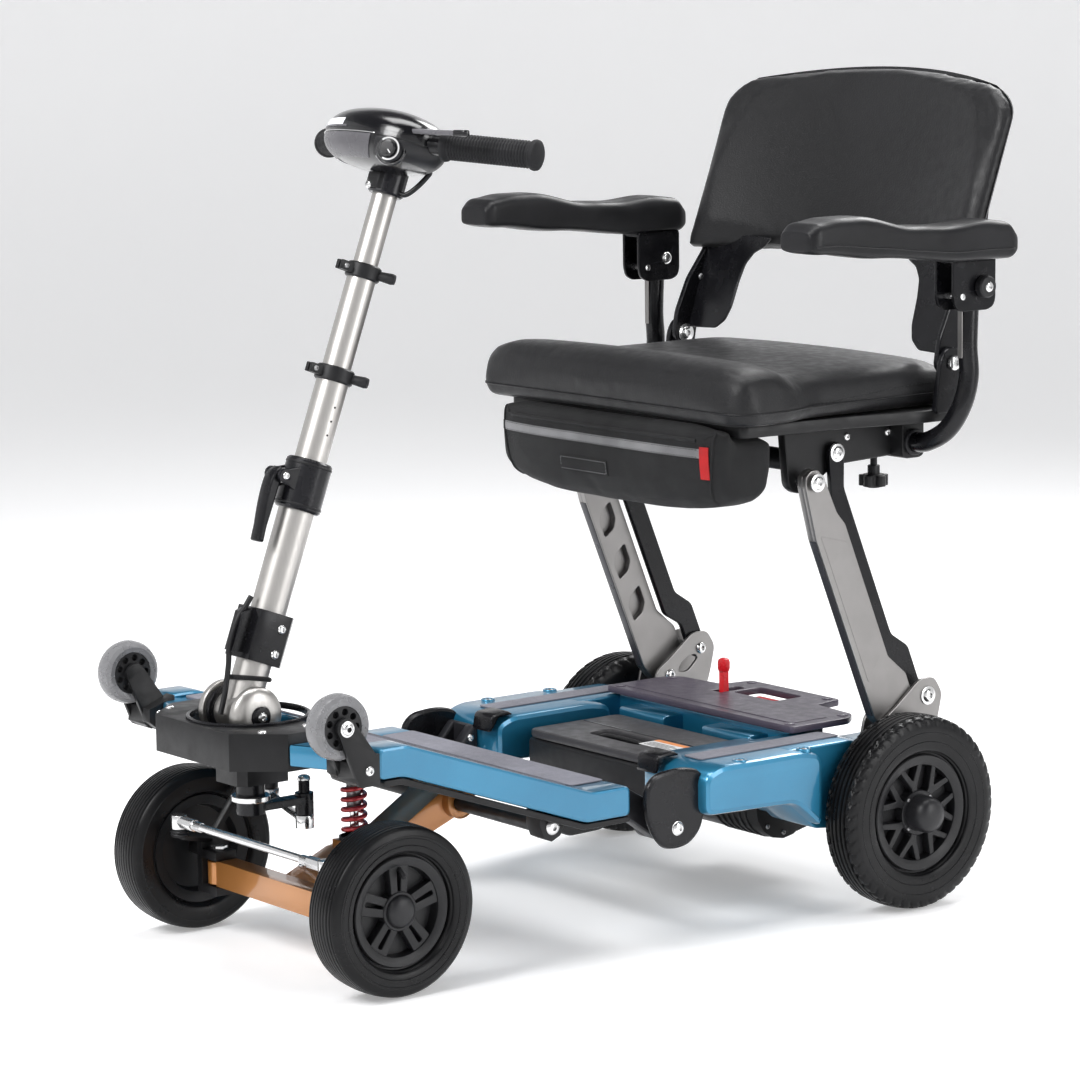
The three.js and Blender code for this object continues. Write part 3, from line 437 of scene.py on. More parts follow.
def layered(name, near, far):
    """A closed form between two layers of point rows, joined round their edges."""
    width, last = len(near[0]), len(near) - 1
    columns, layer = width - 1, width * len(near)
    faces = []
    for j in range(last):
        for i in range(columns):
            a = j * width + i
            faces.append((a, a + 1, a + width + 1, a + width))
            faces.append((layer + a, layer + a + width, layer + a + width + 1, layer + a + 1))
    rim = list(range(columns)) + [j * width + columns for j in range(last)]
    rim += [last * width + i for i in range(columns, 0, -1)]
    rim += [j * width for j in range(last, 0, -1)]
    for a, b in zip(rim, rim[1:] + rim[:1]):
        faces.append((a, layer + a, layer + b, b))
    return from_lists(name, [p for row in near + far for p in row], faces)


def rounded_end(radius, low, high, edge=0.001):
    """A solid rod's profile with softened ends."""
    return [(0, low), (radius - edge, low), (radius - edge * 0.3, low + edge * 0.3), (radius, low + edge),
        (radius, high - edge), (radius - edge * 0.3, high - edge * 0.3), (radius - edge, high), (0, high)]


def ring_profile(inner, outer, low, high, edge=0.0008):
    return [(inner, low), (outer - edge, low), (outer, low + edge), (outer, high - edge),
        (outer - edge, high), (inner, high), (inner, low)]


def curve_object(name, dimensions):
    curve = bpy.data.curves.new(name, "CURVE")
    curve.dimensions = dimensions
    obj = bpy.data.objects.new(name, curve)
    bpy.context.scene.collection.objects.link(obj)
    return obj


def corner_rounded(points, radius, steps=4):
    """The outline with each corner turned into a short arc."""
    result = []
    count = len(points)
    for i, point in enumerate(points):
        p = Vector(point)
        before, after = Vector(points[i - 1]) - p, Vector(points[(i + 1) % count]) - p
        reach = min(radius, before.length * 0.45, after.length * 0.45)
        a, b = p + before.normalized() * reach, p + after.normalized() * reach
        for k in range(steps + 1):
            t = k / steps
            result.append((a * (1 - t) ** 2 + p * 2 * t * (1 - t) + b * t ** 2)[:])
    return result


def plate(name, outline, low, high, place, look, body, holes=(), round_to=0.003, edge=0.0006, stands_for=()):
    """A flat plate: an outline of (u, v) points, with holes, from low to high along its normal."""
    obj = curve_object(name, "2D")
    obj.data.fill_mode = "BOTH"
    obj.data.extrude = max(1e-5, (high - low) / 2 - edge)
    obj.data.bevel_depth = edge
    obj.data.bevel_resolution = 1
    obj.data.offset = -edge
    for loop, radius in [(outline, round_to)] + [(hole, round_to) for hole in holes]:
        path = corner_rounded(loop, radius) if radius else loop
        spline = obj.data.splines.new("POLY")
        spline.points.add(len(path) - 1)
        for point, (u, v) in zip(spline.points, path):
            point.co = (u, v, 0, 1)
        spline.use_cyclic_u = True
    obj.matrix_world = place @ Matrix.Translation((0, 0, (low + high) / 2))
    made = applied(obj)
    made.data.transform(made.matrix_world)
    made.matrix_world = Matrix.Identity(4)
    return show(made, look, body, 35.0, stands_for)


def facing(origin, u, v):
    """The placement that puts plate outlines on the plane of u and v."""
    u, v = Vector(u).normalized(), Vector(v).normalized()
    w = u.cross(v)
    matrix = Matrix((u, v, w)).transposed().to_4x4()
    matrix.translation = origin
    return matrix


SIDE_VIEW = facing(at(0, 0, 0), Y_AXIS, Z_AXIS)
TOP_VIEW = facing(at(0, 0, 0), X_AXIS, Y_AXIS)


def eased(value, power):
    """A power that keeps its value's sign, for superellipses."""
    return math.copysign(abs(value) ** power, value)


def ordered(s, low, high):
    """A range across the scooter, mirrored for its right side."""
    return (low, high) if s > 0 else (-high, -low)


def metres(outline):
    """An outline given in millimetres, in metres."""
    return [(u / 1000, v / 1000) for u, v in outline]


def rectangle(u0, u1, v0, v1):
    return [(u0, v0), (u1, v0), (u1, v1), (u0, v1)]


def circle(u, v, radius, count=24):
    return [(u + radius * math.cos(2 * math.pi * i / count), v + radius * math.sin(2 * math.pi * i / count))
        for i in range(count)]


def spline_points(points, steps=8):
    """Points of a smooth path through the given ones."""
    pts = [Vector(p) for p in points]
    ends = [pts[0] * 2 - pts[1]] + pts + [pts[-1] * 2 - pts[-2]]
    path = []
    for i in range(1, len(ends) - 2):
        p0, p1, p2, p3 = ends[i - 1:i + 3]
        for k in range(steps):
            t = k / steps
            path.append(0.5 * (2 * p1 + (p2 - p0) * t + (2 * p0 - 5 * p1 + 4 * p2 - p3) * t ** 2
                + (3 * p1 - p0 - 3 * p2 + p3) * t ** 3))
    return path + [pts[-1]]


def smooth_profile(keys, steps):
    """A smooth line of pairs through the given pairs."""
    return [(p.x, p.y) for p in spline_points([(*key, 0) for key in keys], steps)]


def tube(name, points, radius, look, body, steps=8, closed=False, stands_for=()):
    """A round tube along a smooth path."""
    obj = curve_object(name, "3D")
    obj.data.bevel_depth = radius
    obj.data.bevel_resolution = 6
    obj.data.use_fill_caps = not closed
    path = spline_points(points, steps) if steps else [Vector(p) for p in points]
    spline = obj.data.splines.new("POLY")
    spline.points.add(len(path) - 1)
    for point, p in zip(spline.points, path):
        point.co = (*p, 1)
    spline.use_cyclic_u = closed
    return show(applied(obj), look, body, 50.0, stands_for)


def pin(name, s, where, radius, low, high, body, sides=24, edge=0.0006, look="bright"):
    """A round pin or washer across the scooter, from low to high along its outward side."""
    return turned(name, rounded_end(radius, low, high, edge), where, X_AXIS * s, look, body, sides)


def screw(name, where, direction, body, radius=0.0045, height=0.0028, look="bright"):
    """A button-head screw with a hexagon socket."""
    direction = Vector(direction).normalized()
    dome = [(0, -0.0005), (radius, -0.0005), (radius, height * 0.35), (radius * 0.86, height * 0.75),
        (radius * 0.55, height), (radius * 0.45, height), (radius * 0.42, height * 0.3), (0, height * 0.25)]
    return turned(name, dome, where, direction, look, body, 24)


def box_piece(name, low, high, look, body, width=0.001, stands_for=()):
    """A block between two corners with rounded edges."""
    work = bmesh.new()
    bmesh.ops.create_cube(work, size=1.0)
    low, high = Vector(low), Vector(high)
    for v in work.verts:
        v.co = Vector([(low[i] + high[i]) / 2 + v.co[i] * (high[i] - low[i]) for i in range(3)])
    mesh = bpy.data.meshes.new(name)
    work.to_mesh(mesh)
    work.free()
    obj = bevelled(linked(name, mesh), width, 3)
    return show(obj, look, body, 40.0, stands_for)


# ---- wheels ---------------------------------------------------------------------------

# Wheels, metres: half track, axle behind the front axle, radius, half width, rim radius, hub radius.
FRONT = {"x": 0.188, "y": 0.0, "radius": 0.0892, "half": 0.025, "rim": 0.0605, "hub": 0.0165}
REAR = {"x": 0.2506, "y": 0.652, "radius": 0.1075, "half": 0.024, "rim": 0.0675, "hub": 0.019}


def tyre_section(wheel, step):
    """Half of a tyre's outline from bead to crown, mirrored: (across, radius) points."""
    half, radius, rim = wheel["half"], wheel["radius"], wheel["rim"]
    wall = (rim + radius) / 2 + 0.003
    keys = [(0.74 * half, rim), (0.8 * half, rim + 0.0015), (0.93 * half, rim + 0.004), (half, wall),
        (0.975 * half, radius - 0.01), (0.9 * half, radius - 0.0045), (0.78 * half, radius - 0.0015)]
    side = smooth_profile(keys, 4)
    flat = keys[-1][0]
    count = int(2 * flat / step)
    crown = []
    for i in range(1, count):
        x = flat - 2 * flat * i / count
        crown.append((x, radius - 0.0015 * (x / flat) ** 2))
    return side + crown + [(-x, r) for x, r in reversed(side)]


def front_tread(angle, x):
    grooves = [k * 0.0049 for k in (-3.5, -2.5, -1.5, -0.5, 0.5, 1.5, 2.5, 3.5)]
    return 0.0011 if min(abs(x - g) for g in grooves) < 0.0007 else 0.0


def rear_tread(angle, x):
    wide = abs(x)
    if any(abs(wide - g) < 0.0013 for g in (0.0, 0.0062, 0.0124)):
        return 0.0024
    wave = math.sin(angle * 46 + 1.1 * math.sin(wide * 900) + (0 if x > 0 else 2.2))
    return 0.002 if wide > 0.0124 and wave > 0.62 else 0.0


def tyre(end, wheel, side, s, tread, turns, step):
    section = tyre_section(wheel, step)
    centre = at(s * wheel["x"], wheel["y"], wheel["radius"])
    count = len(section)
    points, faces = [], []
    for i in range(turns):
        a = 2 * math.pi * i / turns
        for x, r in section:
            depth = tread(a, x) if r > wheel["radius"] - 0.01 else 0.0
            points.append(centre + Vector((x, (r - depth) * math.cos(a), (r - depth) * math.sin(a))))
    for i in range(turns):
        for k in range(count):
            a, b = i * count + k, i * count + (k + 1) % count
            c, d = (i + 1) % turns * count + (k + 1) % count, (i + 1) % turns * count + k
            faces.append((a, d, c, b))
    obj = outward(from_lists(f"{end}_tyre_{side}_tread", points, faces))
    show(obj, "tyre", f"{end}_wheel_{side}", 50.0, (f"{end}_tyre_{side}",))
    for k, wall in enumerate((0.8, 0.72)):
        at_r = wheel["rim"] + (wheel["radius"] - wheel["rim"]) * (0.3 + 0.26 * k)
        bead = [(at_r - 0.0006, 0), (at_r, 0.0006), (at_r + 0.0006, 0), (at_r, -0.0004), (at_r - 0.0006, 0)]
        out = wheel["half"] * (0.975 + 0.02 * k)
        turned(f"{end}_wall_ring_{side}_{k}", bead, centre + X_AXIS * s * out, X_AXIS * s, "tyre",
            f"{end}_wheel_{side}", 96)


def wheel_dish(end, wheel, side, s, zone):
    rim, hub = wheel["rim"], wheel["hub"]
    body = f"{end}_wheel_{side}"
    centre = at(s * wheel["x"], wheel["y"], wheel["radius"])
    axis = X_AXIS * s
    dish = [(0, -0.004), (zone - 0.002, -0.004), (zone + 0.001, -0.016), (rim - 0.0015, -0.0195),
        (rim - 0.0004, -0.018), (rim - 0.0004, 0.014), (rim - 0.0025, 0.0135), (rim - 0.003, 0.0175),
        (rim - 0.004, 0.0185), (rim - 0.007, 0.018), (zone + 0.002, 0.0165), (zone + 0.0004, 0.0155),
        (zone, 0.014), (zone - 0.001, 0.004), (hub, 0.003), (0, 0.003)]
    turned(f"{end}_rim_dish_{side}", dish, centre, axis, "rim_plastic", body, 96, (f"{end}_rim_{side}",))
    return centre, axis, body


def spokes(end, side, s, centre, body, count, outline, slot_hole, start):
    for i in range(count):
        a = start + 2 * math.pi * i / count
        u = Vector((0, math.cos(a), math.sin(a)))
        v = Vector((0, -math.sin(a), math.cos(a))) * s
        plate(f"{end}_spoke_{side}_{i}", outline, 0.003, 0.0145, facing(centre, u, v), "rim_plastic", body,
            [slot_hole] if slot_hole else [], 0.002, 0.0012)


def valve(end, wheel, side, s, body):
    start = at(s * (wheel["x"] + 0.01), wheel["y"], wheel["radius"] + wheel["rim"] - 0.004)
    stem = rounded_end(0.0026, 0.0, 0.013, 0.0006)
    turned(f"{end}_valve_{side}", stem, start - Z_AXIS * 0.012 + X_AXIS * s * 0.004,
        Vector((s * 0.6, 0, -0.5)), "black_plastic", body, 16)


def front_wheel(side, s):
    tyre("front", FRONT, side, s, front_tread, 128, 0.0006)
    centre, axis, body = wheel_dish("front", FRONT, side, s, 0.047)
    bars = [(0.014, -0.0095), (0.0478, -0.0125), (0.0478, 0.0125), (0.014, 0.0095)]
    gap = [(0.021, -0.0016), (0.0435, -0.0026), (0.0435, 0.0026), (0.021, 0.0016)]
    spokes("front", side, s, centre, body, 5, bars, gap, math.pi / 2)
    cap = [(0, 0.002), (0.0172, 0.002), (0.0172, 0.0155), (0.0166, 0.018), (0.0148, 0.0208),
        (0.011, 0.0226), (0.006, 0.0236), (0, 0.0239)]
    turned(f"front_hub_cap_{side}", cap, centre, axis, "dark_plastic", body, 48)
    turned(f"front_hub_ring_{side}", ring_profile(0.0175, 0.0205, 0.003, 0.0158), centre, axis,
        "rim_plastic", body, 48)
    valve("front", FRONT, side, s, body)


def rear_wheel(side, s):
    tyre("rear", REAR, side, s, rear_tread, 322, 0.0008)
    centre, axis, body = wheel_dish("rear", REAR, side, s, 0.053)
    fork = [(0.015, -0.0042), (0.028, -0.004), (0.054, -0.018), (0.0548, -0.0115), (0.036, 0.0),
        (0.0548, 0.0115), (0.054, 0.018), (0.028, 0.004), (0.015, 0.0042)]
    spokes("rear", side, s, centre, body, 7, fork, None, math.pi / 2 + 0.2)
    cap = [(0, 0.002), (0.02, 0.002), (0.02, 0.028), (0.0194, 0.033), (0.0172, 0.0378), (0.013, 0.0412),
        (0.007, 0.0428), (0, 0.0432)]
    turned(f"rear_hub_cap_{side}", cap, centre, axis, "dark_plastic", body, 48)
    turned(f"rear_hub_ring_{side}", ring_profile(0.0203, 0.025, 0.003, 0.016), centre, axis, "rim_plastic",
        body, 48)
    for i in range(4):
        a = math.pi / 4 + i * math.pi / 2
        out = Vector((s * 0.0158, 0.0225 * math.cos(a), 0.0225 * math.sin(a)))
        screw(f"rear_hub_screw_{side}_{i}", centre + out, axis, body, 0.0021, 0.0014, "dull_metal")


def trolley_wheel(side, s):
    body = f"trolley_wheel_{side}"
    centre = at(s * 0.199, -0.069, 0.288)
    axis = X_AXIS * s
    tread = [(0.0225, -0.0105), (0.028, -0.0118), (0.032, -0.009), (0.0338, -0.004), (0.0338, 0.004),
        (0.032, 0.009), (0.028, 0.0118), (0.0225, 0.0105), (0.0222, 0.0), (0.0225, -0.0105)]
    turned(f"trolley_tread_{side}", tread, centre, axis, "clear", body, 64, (f"trolley_wheel_{side}",))
    place = facing(centre, Y_AXIS, Z_AXIS * s)
    windows = []
    for i in range(9):
        a = 2 * math.pi * i / 9
        windows.append(circle(0.0163 * math.cos(a), 0.0163 * math.sin(a), 0.0034, 12))
    windows.append(circle(0, 0, 0.0044, 20))
    plate(f"trolley_hub_{side}", circle(0, 0, 0.0224, 48), -0.01, 0.01, place, "black_plastic", body,
        windows, 0.0, 0.0008)
    turned(f"trolley_boss_{side}", ring_profile(0.0044, 0.0095, -0.0118, 0.0118), centre, axis,
        "black_plastic", body, 32)


# ---- rear chassis ---------------------------------------------------------------------


def side_plates(name, outline, x_from, x_to, look, body, round_to=0.004, edge=0.0015, holes=(), nodes=()):
    """The same side outline on the left and the right of the scooter. Outlines are in millimetres."""
    for side, s in SIDES:
        low, high = ordered(s, x_from / 1000, x_to / 1000)
        scaled = metres(outline)
        cuts = [metres(hole) for hole in holes]
        stands_for = [node.replace("SIDE", side) for node in nodes]
        plate(f"{name}_{side}", scaled, low, high, SIDE_VIEW, look, body.replace("SIDE", side), cuts,
            round_to, edge, stands_for)


def middle_plate(name, outline, x_from, x_to, look, body, round_to=0.003, edge=0.001, nodes=()):
    scaled = metres(outline)
    plate(name, scaled, x_from / 1000, x_to / 1000, SIDE_VIEW, look, body, (), round_to, edge, nodes)


def rear_chassis():
    body = "rear_frame"
    front_block = [(373, 138), (500, 134), (538, 101), (538, 184), (510, 190), (394, 190), (373, 181)]
    side_plates("rear_rail_front", front_block, 131, 238, "blue", body, 0.012, 0.006)
    cap = [(362, 172), (366, 194), (390, 196), (397, 190.5), (376, 190), (371.5, 181)]
    side_plates("rear_post_cap", cap, 132, 166, "satin_coat", body, 0.006, 0.0026)
    rail = [(500, 134), (540, 98), (585, 93), (602, 131), (721, 131), (721, 178), (636, 178), (590, 190),
        (500, 190)]
    side_plates("rear_rail_back", rail, 150, 221, "blue", body, 0.006, 0.0022)
    side_plates("rear_inner_block", rectangle(535, 566, 150, 185), 34, 115, "blue", body, 0.005, 0.0018)
    side_plates("rear_plate_lug", rectangle(585, 650, 168, 192), 98, 110, "black_coat", body)
    middle_plate("rear_cross_beam", rectangle(564, 590, 143, 192), -151, 151, "blue", body, 0.004, 0.0018,
        ("rear_frame",))
    middle_plate("battery_tray", rectangle(392, 545, 111, 116), -135, 135, "black_coat", body, 0.001, 0.0008)
    middle_plate("battery_tray_wall", rectangle(543, 548, 111, 150), -150, 150, "black_coat", body, 0.001,
        0.0008)
    box_piece("battery_connector", at(-0.03, 0.541, 0.116), at(0.03, 0.563, 0.152), "gloss_black", body,
        0.002)
    for k in (-1, 1):
        turned(f"battery_contact_{'left' if k > 0 else 'right'}", rounded_end(0.004, 0, 0.004, 0.0006),
            at(k * 0.014, 0.5415, 0.136), Vector((0, -1, 0)), "bright", body, 20)
    for side, s in SIDES:
        strip = [(0.0, 0.0), (0.19, 0.0), (0.196, 0.01), (0.196, 0.03), (0.0, 0.03)]
        place = facing(at(s * 0.17, 0.398, 0.19), Y_AXIS, X_AXIS * s)
        low, high = (-0.0016, 0.0) if s > 0 else (0.0, 0.0016)
        plate(f"rear_grip_strip_{side}", strip, low, high, place, "grit", body, (), 0.004, 0.0003)
        for k, y in enumerate((0.43, 0.52)):
            well = [(0, 0.0002), (0.0052, 0.0002), (0.0056, 0.0012), (0.0076, 0.0014), (0.0082, 0.0004),
                (0.0082, -0.003), (0, -0.003)]
            turned(f"rear_rail_well_{side}_{k}", well, at(s * 0.226, y, 0.1898), Z_AXIS, "blue", body, 32)
            screw(f"rear_rail_screw_{side}_{k}", at(s * 0.226, y, 0.19), Z_AXIS, body, 0.004, 0.001,
                "dull_metal")
        lamp = rectangle(0.0, 0.04, 0.0, 0.02)
        place = facing(at(s * 0.186 - 0.02, 0.7213, 0.144), X_AXIS, Z_AXIS)
        plate(f"rear_reflector_{side}", lamp, -0.0022, 0.0006, place, "red_plastic", body, (), 0.003, 0.0006)


def rear_hinges():
    arm = [(337, 144), (366, 176), (371.5, 176), (371.5, 138), (353, 112), (345, 110), (334, 113),
        (328, 122), (328, 133)]
    side_plates("rear_hinge_outer", arm, 206, 222, "grey_cast", "rear_frame", 0.008, 0.003,
        nodes=("rear_hinge_SIDE",))
    side_plates("rear_hinge_inner", arm, 168, 184, "grey_cast", "rear_frame", 0.008, 0.003)
    cover = [(302, 150), (304, 178), (318, 190), (352, 193), (382, 186), (385, 150), (378, 122), (362, 108),
        (345, 105), (326, 108), (314, 122)]
    side_plates("rear_hinge_cover", cover, 216, 225, "satin_coat", "rear_frame", 0.014, 0.004)
    bridge = [(366, 139), (366, 175), (371.7, 176), (371.7, 138)]
    side_plates("rear_hinge_bridge", bridge, 168.5, 221.5, "grey_cast", "rear_frame", 0.001, 0.0008)
    for side, s in SIDES:
        centre = at(s * 0.168, *FOLD_PIVOT)
        turned(f"rear_hinge_pin_{side}", rounded_end(0.008, 0.0, 0.0575, 0.001), centre, X_AXIS * s,
            "bright", "rear_frame", 32)
        turned(f"rear_hinge_boss_{side}", ring_profile(0.0085, 0.0135, 0.0535, 0.0565), centre, X_AXIS * s,
            "grey_cast", "rear_frame", 32)
        screw(f"rear_hinge_screw_{side}", at(s * 0.2255, *FOLD_PIVOT), X_AXIS * s, "rear_frame", 0.007,
            0.003)
        for k, (y, z) in enumerate(((0.362, 0.163), (0.362, 0.146))):
            screw(f"rear_hinge_inner_screw_{side}_{k}", at(s * 0.1682, y, z), X_AXIS * -s, "rear_frame",
                0.0042, 0.0026)


def rear_cover():
    edge = [(-165, 556), (165, 556), (165, 640), (150, 658), (84, 664), (78, 704), (-78, 704), (-84, 664),
        (-150, 658), (-165, 640)]
    outline = metres(edge)
    hand_hole = rectangle(-0.037, 0.037, 0.641, 0.682)
    lever_slot = rectangle(-0.06, -0.044, 0.612, 0.666)
    plate("rear_cover_plate", outline, 0.1923, 0.2, TOP_VIEW, "plate_plastic", "rear_frame",
        [hand_hole, lever_slot], 0.006, 0.0014, ("rear_plate",))
    inner = [(x * 0.9, 0.57 + (y - 0.556) * 0.66) for x, y in ((-0.165, 0.556), (0.165, 0.556),
        (0.165, 0.64), (-0.165, 0.64))]
    plate("rear_cover_rib", inner, 0.1998, 0.2007, TOP_VIEW, "plate_plastic", "rear_frame", (), 0.008, 0.0004)
    for i, (x, y) in enumerate(((-0.15, 0.566), (0.15, 0.566), (-0.15, 0.643), (0.15, 0.643),
                                (-0.066, 0.694), (0.066, 0.694))):
        turned(f"rear_cover_screw_well_{i}", ring_profile(0.003, 0.0062, -0.0004, 0.0008, 0.0003),
            at(x, y, 0.2), Z_AXIS, "plate_plastic", "rear_frame", 24)
        screw(f"rear_cover_screw_{i}", at(x, y, 0.1998), Z_AXIS, "rear_frame", 0.003, 0.001, "dull_metal")
    box_piece("motor_hood", at(-0.036, 0.642, 0.164), at(0.036, 0.681, 0.1915), "red_plastic", "rear_frame",
        0.006)


def seat_brackets():
    edge = [(640, 178.4), (646, 204), (662, 214), (700, 243), (722, 243), (734, 224), (728, 198),
        (722, 178.4)]
    window = [(677, 199), (692, 197), (707, 211), (704, 217), (692, 216), (680, 207)]
    side_plates("bracket_outer", edge, 211, 215, "plate_metal", "rear_frame", 0.007, 0.0009,
        nodes=("seat_bracket_SIDE",))
    side_plates("bracket_inner", edge, 181, 185, "plate_metal", "rear_frame", 0.007, 0.0009, (window,))
    side_plates("bracket_foot", rectangle(641, 721, 178.4, 180.6), 181.5, 214.5, "black_coat", "rear_frame",
        0.0, 0.0004)
    for side, s in SIDES:
        for k, (y, z) in enumerate((LEG_FOOT, LINK_FOOT)):
            pin(f"bracket_pin_{side}_{k}", s, at(s * 0.181, y, z), 0.005, 0, 0.035, "rear_frame")
            pin(f"bracket_washer_{side}_{k}", s, at(s * 0.215, y, z), 0.0105, 0, 0.0014, "rear_frame", 32,
                0.0004)
            screw(f"bracket_bolt_{side}_{k}", at(s * 0.2162, y, z), X_AXIS * s, "rear_frame", 0.0075, 0.0032)
            screw(f"bracket_nut_{side}_{k}", at(s * 0.181, y, z), X_AXIS * -s, "rear_frame", 0.007, 0.004)


def transaxle():
    refined("transaxle", "black_coat", "rear_frame", 0.003, 3)
    for side, s in SIDES:
        for k, (y, z) in enumerate(((0.64, 0.124), (0.664, 0.124))):
            screw(f"axle_clamp_screw_{side}_{k}", at(s * 0.212, y, z), X_AXIS * s, "rear_frame", 0.004,
                0.0026)
    for i in range(8):
        a = 2 * math.pi * i / 8
        y, z = 0.592 + 0.033 * math.cos(a), 0.1 + 0.033 * math.sin(a)
        screw(f"motor_screw_{i}", at(0.108, y, z), X_AXIS, "rear_frame", 0.0028, 0.0018, "dull_metal")
    for i in range(6):
        ring = ring_profile(0.0385, 0.0412, 0.03 + i * 0.011, 0.034 + i * 0.011, 0.0008)
        turned(f"motor_fin_{i}", ring, at(0, 0.592, 0.1), X_AXIS, "black_coat", "rear_frame", 48)


def battery():
    shell = rectangle(400.3, 529.7, 117.3, 168)
    middle_plate("battery_case", shell, -109.5, 109.5, "black_plastic", "battery", 0.006, 0.0022,
        ("battery",))
    edge = rectangle(-0.11, 0.11, 0.4, 0.53)
    grip = rectangle(-0.048, 0.048, 0.436, 0.466)
    plate("battery_lid", edge, 0.1685, 0.178, TOP_VIEW, "lid_plastic", "battery", [grip], 0.012, 0.0026)
    plate("battery_grip_floor", [(x * 1.02, y) for x, y in grip], 0.16, 0.1688, TOP_VIEW, "gloss_black",
        "battery", (), 0.004, 0.0006)
    tube("battery_handle", [at(-0.047, 0.451, 0.1695), at(-0.03, 0.451, 0.1745), at(0, 0.451, 0.1752),
        at(0.03, 0.451, 0.1745), at(0.047, 0.451, 0.1695)], 0.0028, "black_plastic", "battery")
    seam = rectangle(-0.104, 0.104, 0.4745, 0.4765)
    plate("battery_seam", seam, 0.1778, 0.1785, TOP_VIEW, "gloss_black", "battery", (), 0.0005, 0.0002)
    label = rectangle(0.04, 0.098, 0.44, 0.47)
    plate("battery_label", label, 0.1779, 0.1783, TOP_VIEW, "label", "battery", (), 0.002, 0.0001)
    band = rectangle(0.04, 0.098, 0.462, 0.47)
    plate("battery_label_band", band, 0.1782, 0.1785, TOP_VIEW, "label_band", "battery", (), 0.001, 0.00008)
    for i in range(4):
        line = rectangle(0.045, 0.092 - 0.008 * (i % 2), 0.4435 + i * 0.004, 0.4448 + i * 0.004)
        plate(f"battery_label_rule_{i}", line, 0.1782, 0.1785, TOP_VIEW, "lid_plastic", "battery", (), 0.0,
            0.00006)


def freewheel_lever():
    refined("freewheel_lever", "red_plastic", "freewheel_lever", 0.0024, 3)
    knob = [(0, 0), (0.0062, 0), (0.0072, 0.003), (0.0072, 0.01), (0.006, 0.0135), (0.003, 0.015),
        (0, 0.0154)]
    turned("freewheel_knob", knob, at(-0.052, 0.64, 0.2225), Z_AXIS, "red_plastic", "freewheel_lever", 32)


# ---- front chassis --------------------------------------------------------------------

# The deck's profile in millimetres: its heights, and where its slope starts and ends.
DECK_TOP, DECK_LOW, SLOPE_START, SLOPE_END = 262, 180, 5, 240
DECK_SLOPE = (DECK_TOP - DECK_LOW) / (SLOPE_END - SLOPE_START)


def deck_height(y):
    """The top of the deck in millimetres: flat over the nose, sloping down, then flat at the hinge."""
    return DECK_TOP - DECK_SLOPE * min(max(y - SLOPE_START, 0), SLOPE_END - SLOPE_START)


def deck_panel(name, x_from, x_to, y_from, y_to, look, lift=0.0, thick=1.4, round_to=0.004):
    """A thin sheet lying on the deck between two distances from the axle. Millimetres."""
    middle = (y_from + y_to) / 2
    slope = DECK_SLOPE if SLOPE_START < middle < SLOPE_END else 0
    along = Vector((0, 1, -slope)).normalized()
    length = (y_to - y_from) * math.hypot(1, slope) / 1000
    outline = rectangle(0, length, -x_from / 1000, -x_to / 1000)
    start = at(0, y_from / 1000, (deck_height(y_from) + lift) / 1000)
    place = facing(start, along, X_AXIS * -1)
    return plate(name, outline, -0.0006, thick / 1000 - 0.0006, place, look, "front_frame", (), round_to,
        0.0003)


def front_chassis():
    body = "front_frame"
    rail = [(-30, 262), (5, 262), (240, 180), (290, 180), (290, 148), (232, 148), (0, 230), (-30, 230)]
    side_plates("front_rail", rail, 176, 214.6, "blue", body, 0.007, 0.003, nodes=("front_frame",))
    skirt = [(0, 228.6), (231, 147), (290, 147), (290, 141), (229, 141), (-2, 222), (-24, 222), (-24, 228.6)]
    side_plates("front_skirt", skirt, 179, 213.5, "black_coat", body, 0.003, 0.0015)
    floor = [(18, 255.3), (240, 178), (289, 178), (289, 150), (252, 150), (244, 173), (18, 251.3)]
    middle_plate("front_floor", floor, -176, 176, "blue", body, 0.002, 0.0012)
    notch = []
    for i in range(17):
        a = math.radians(25 + 130 * i / 16)
        notch.append((0.062 * math.cos(a), -0.045 + 0.062 * math.sin(a)))
    nose = [(-0.178, 0.018), (-0.178, -0.0295), (-0.166, -0.046), (-0.113, -0.07), (-0.1125, -0.019)]
    nose += notch[::-1] + [(-x, y) for x, y in nose[::-1]]
    plate("nose_casting", nose, 0.234, 0.2565, TOP_VIEW, "blue", body, (), 0.0012, 0.0022)
    middle_plate("spring_mount", [(66, 192.4), (104, 192.4), (104, 224), (66, 237)], -22, 22, "black_coat",
        body, 0.003, 0.0015)
    side_plates("front_hinge_knuckle", [(282, 178), (290, 178), (343, 146), (354, 143), (361, 135),
        (362, 124), (356, 114), (345, 110), (334, 113), (282, 150)], 185.4, 204.6, "grey_cast", body, 0.006,
        0.0025)
    for side, s in SIDES:
        low, high = ordered(s, 0.064, 0.172)
        nose_pad = rectangle(low, high, -0.015, 0.0135)
        plate(f"deck_grip_front_{side}", nose_pad, 0.256, 0.2592, TOP_VIEW, "grit", body, (), 0.004, 0.0005)
    deck_panel("deck_grip_slope", -174, 174, 21, 236, "grit")
    deck_panel("deck_grip_back", -174, 174, 243, 286, "grit")
    for i in range(7):
        deck_panel(f"deck_grip_rib_{i}", -168, 168, 44 + i * 27, 49 + i * 27, "dark_grit", 0.8, 1.2, 0.002)
    for side, s in SIDES:
        cap = rounded_end(0.017, 0, 0.0016, 0.0005)
        turned(f"front_hinge_washer_{side}", cap, at(s * 0.2043, *FOLD_PIVOT), X_AXIS * s, "bright", body, 40)
    belly = [(226, 146), (288, 144), (296, 134), (286, 126), (242, 125), (230, 132)]
    side_plates("belly_pan", belly, 112, 172, "black_coat", body, 0.008, 0.003)


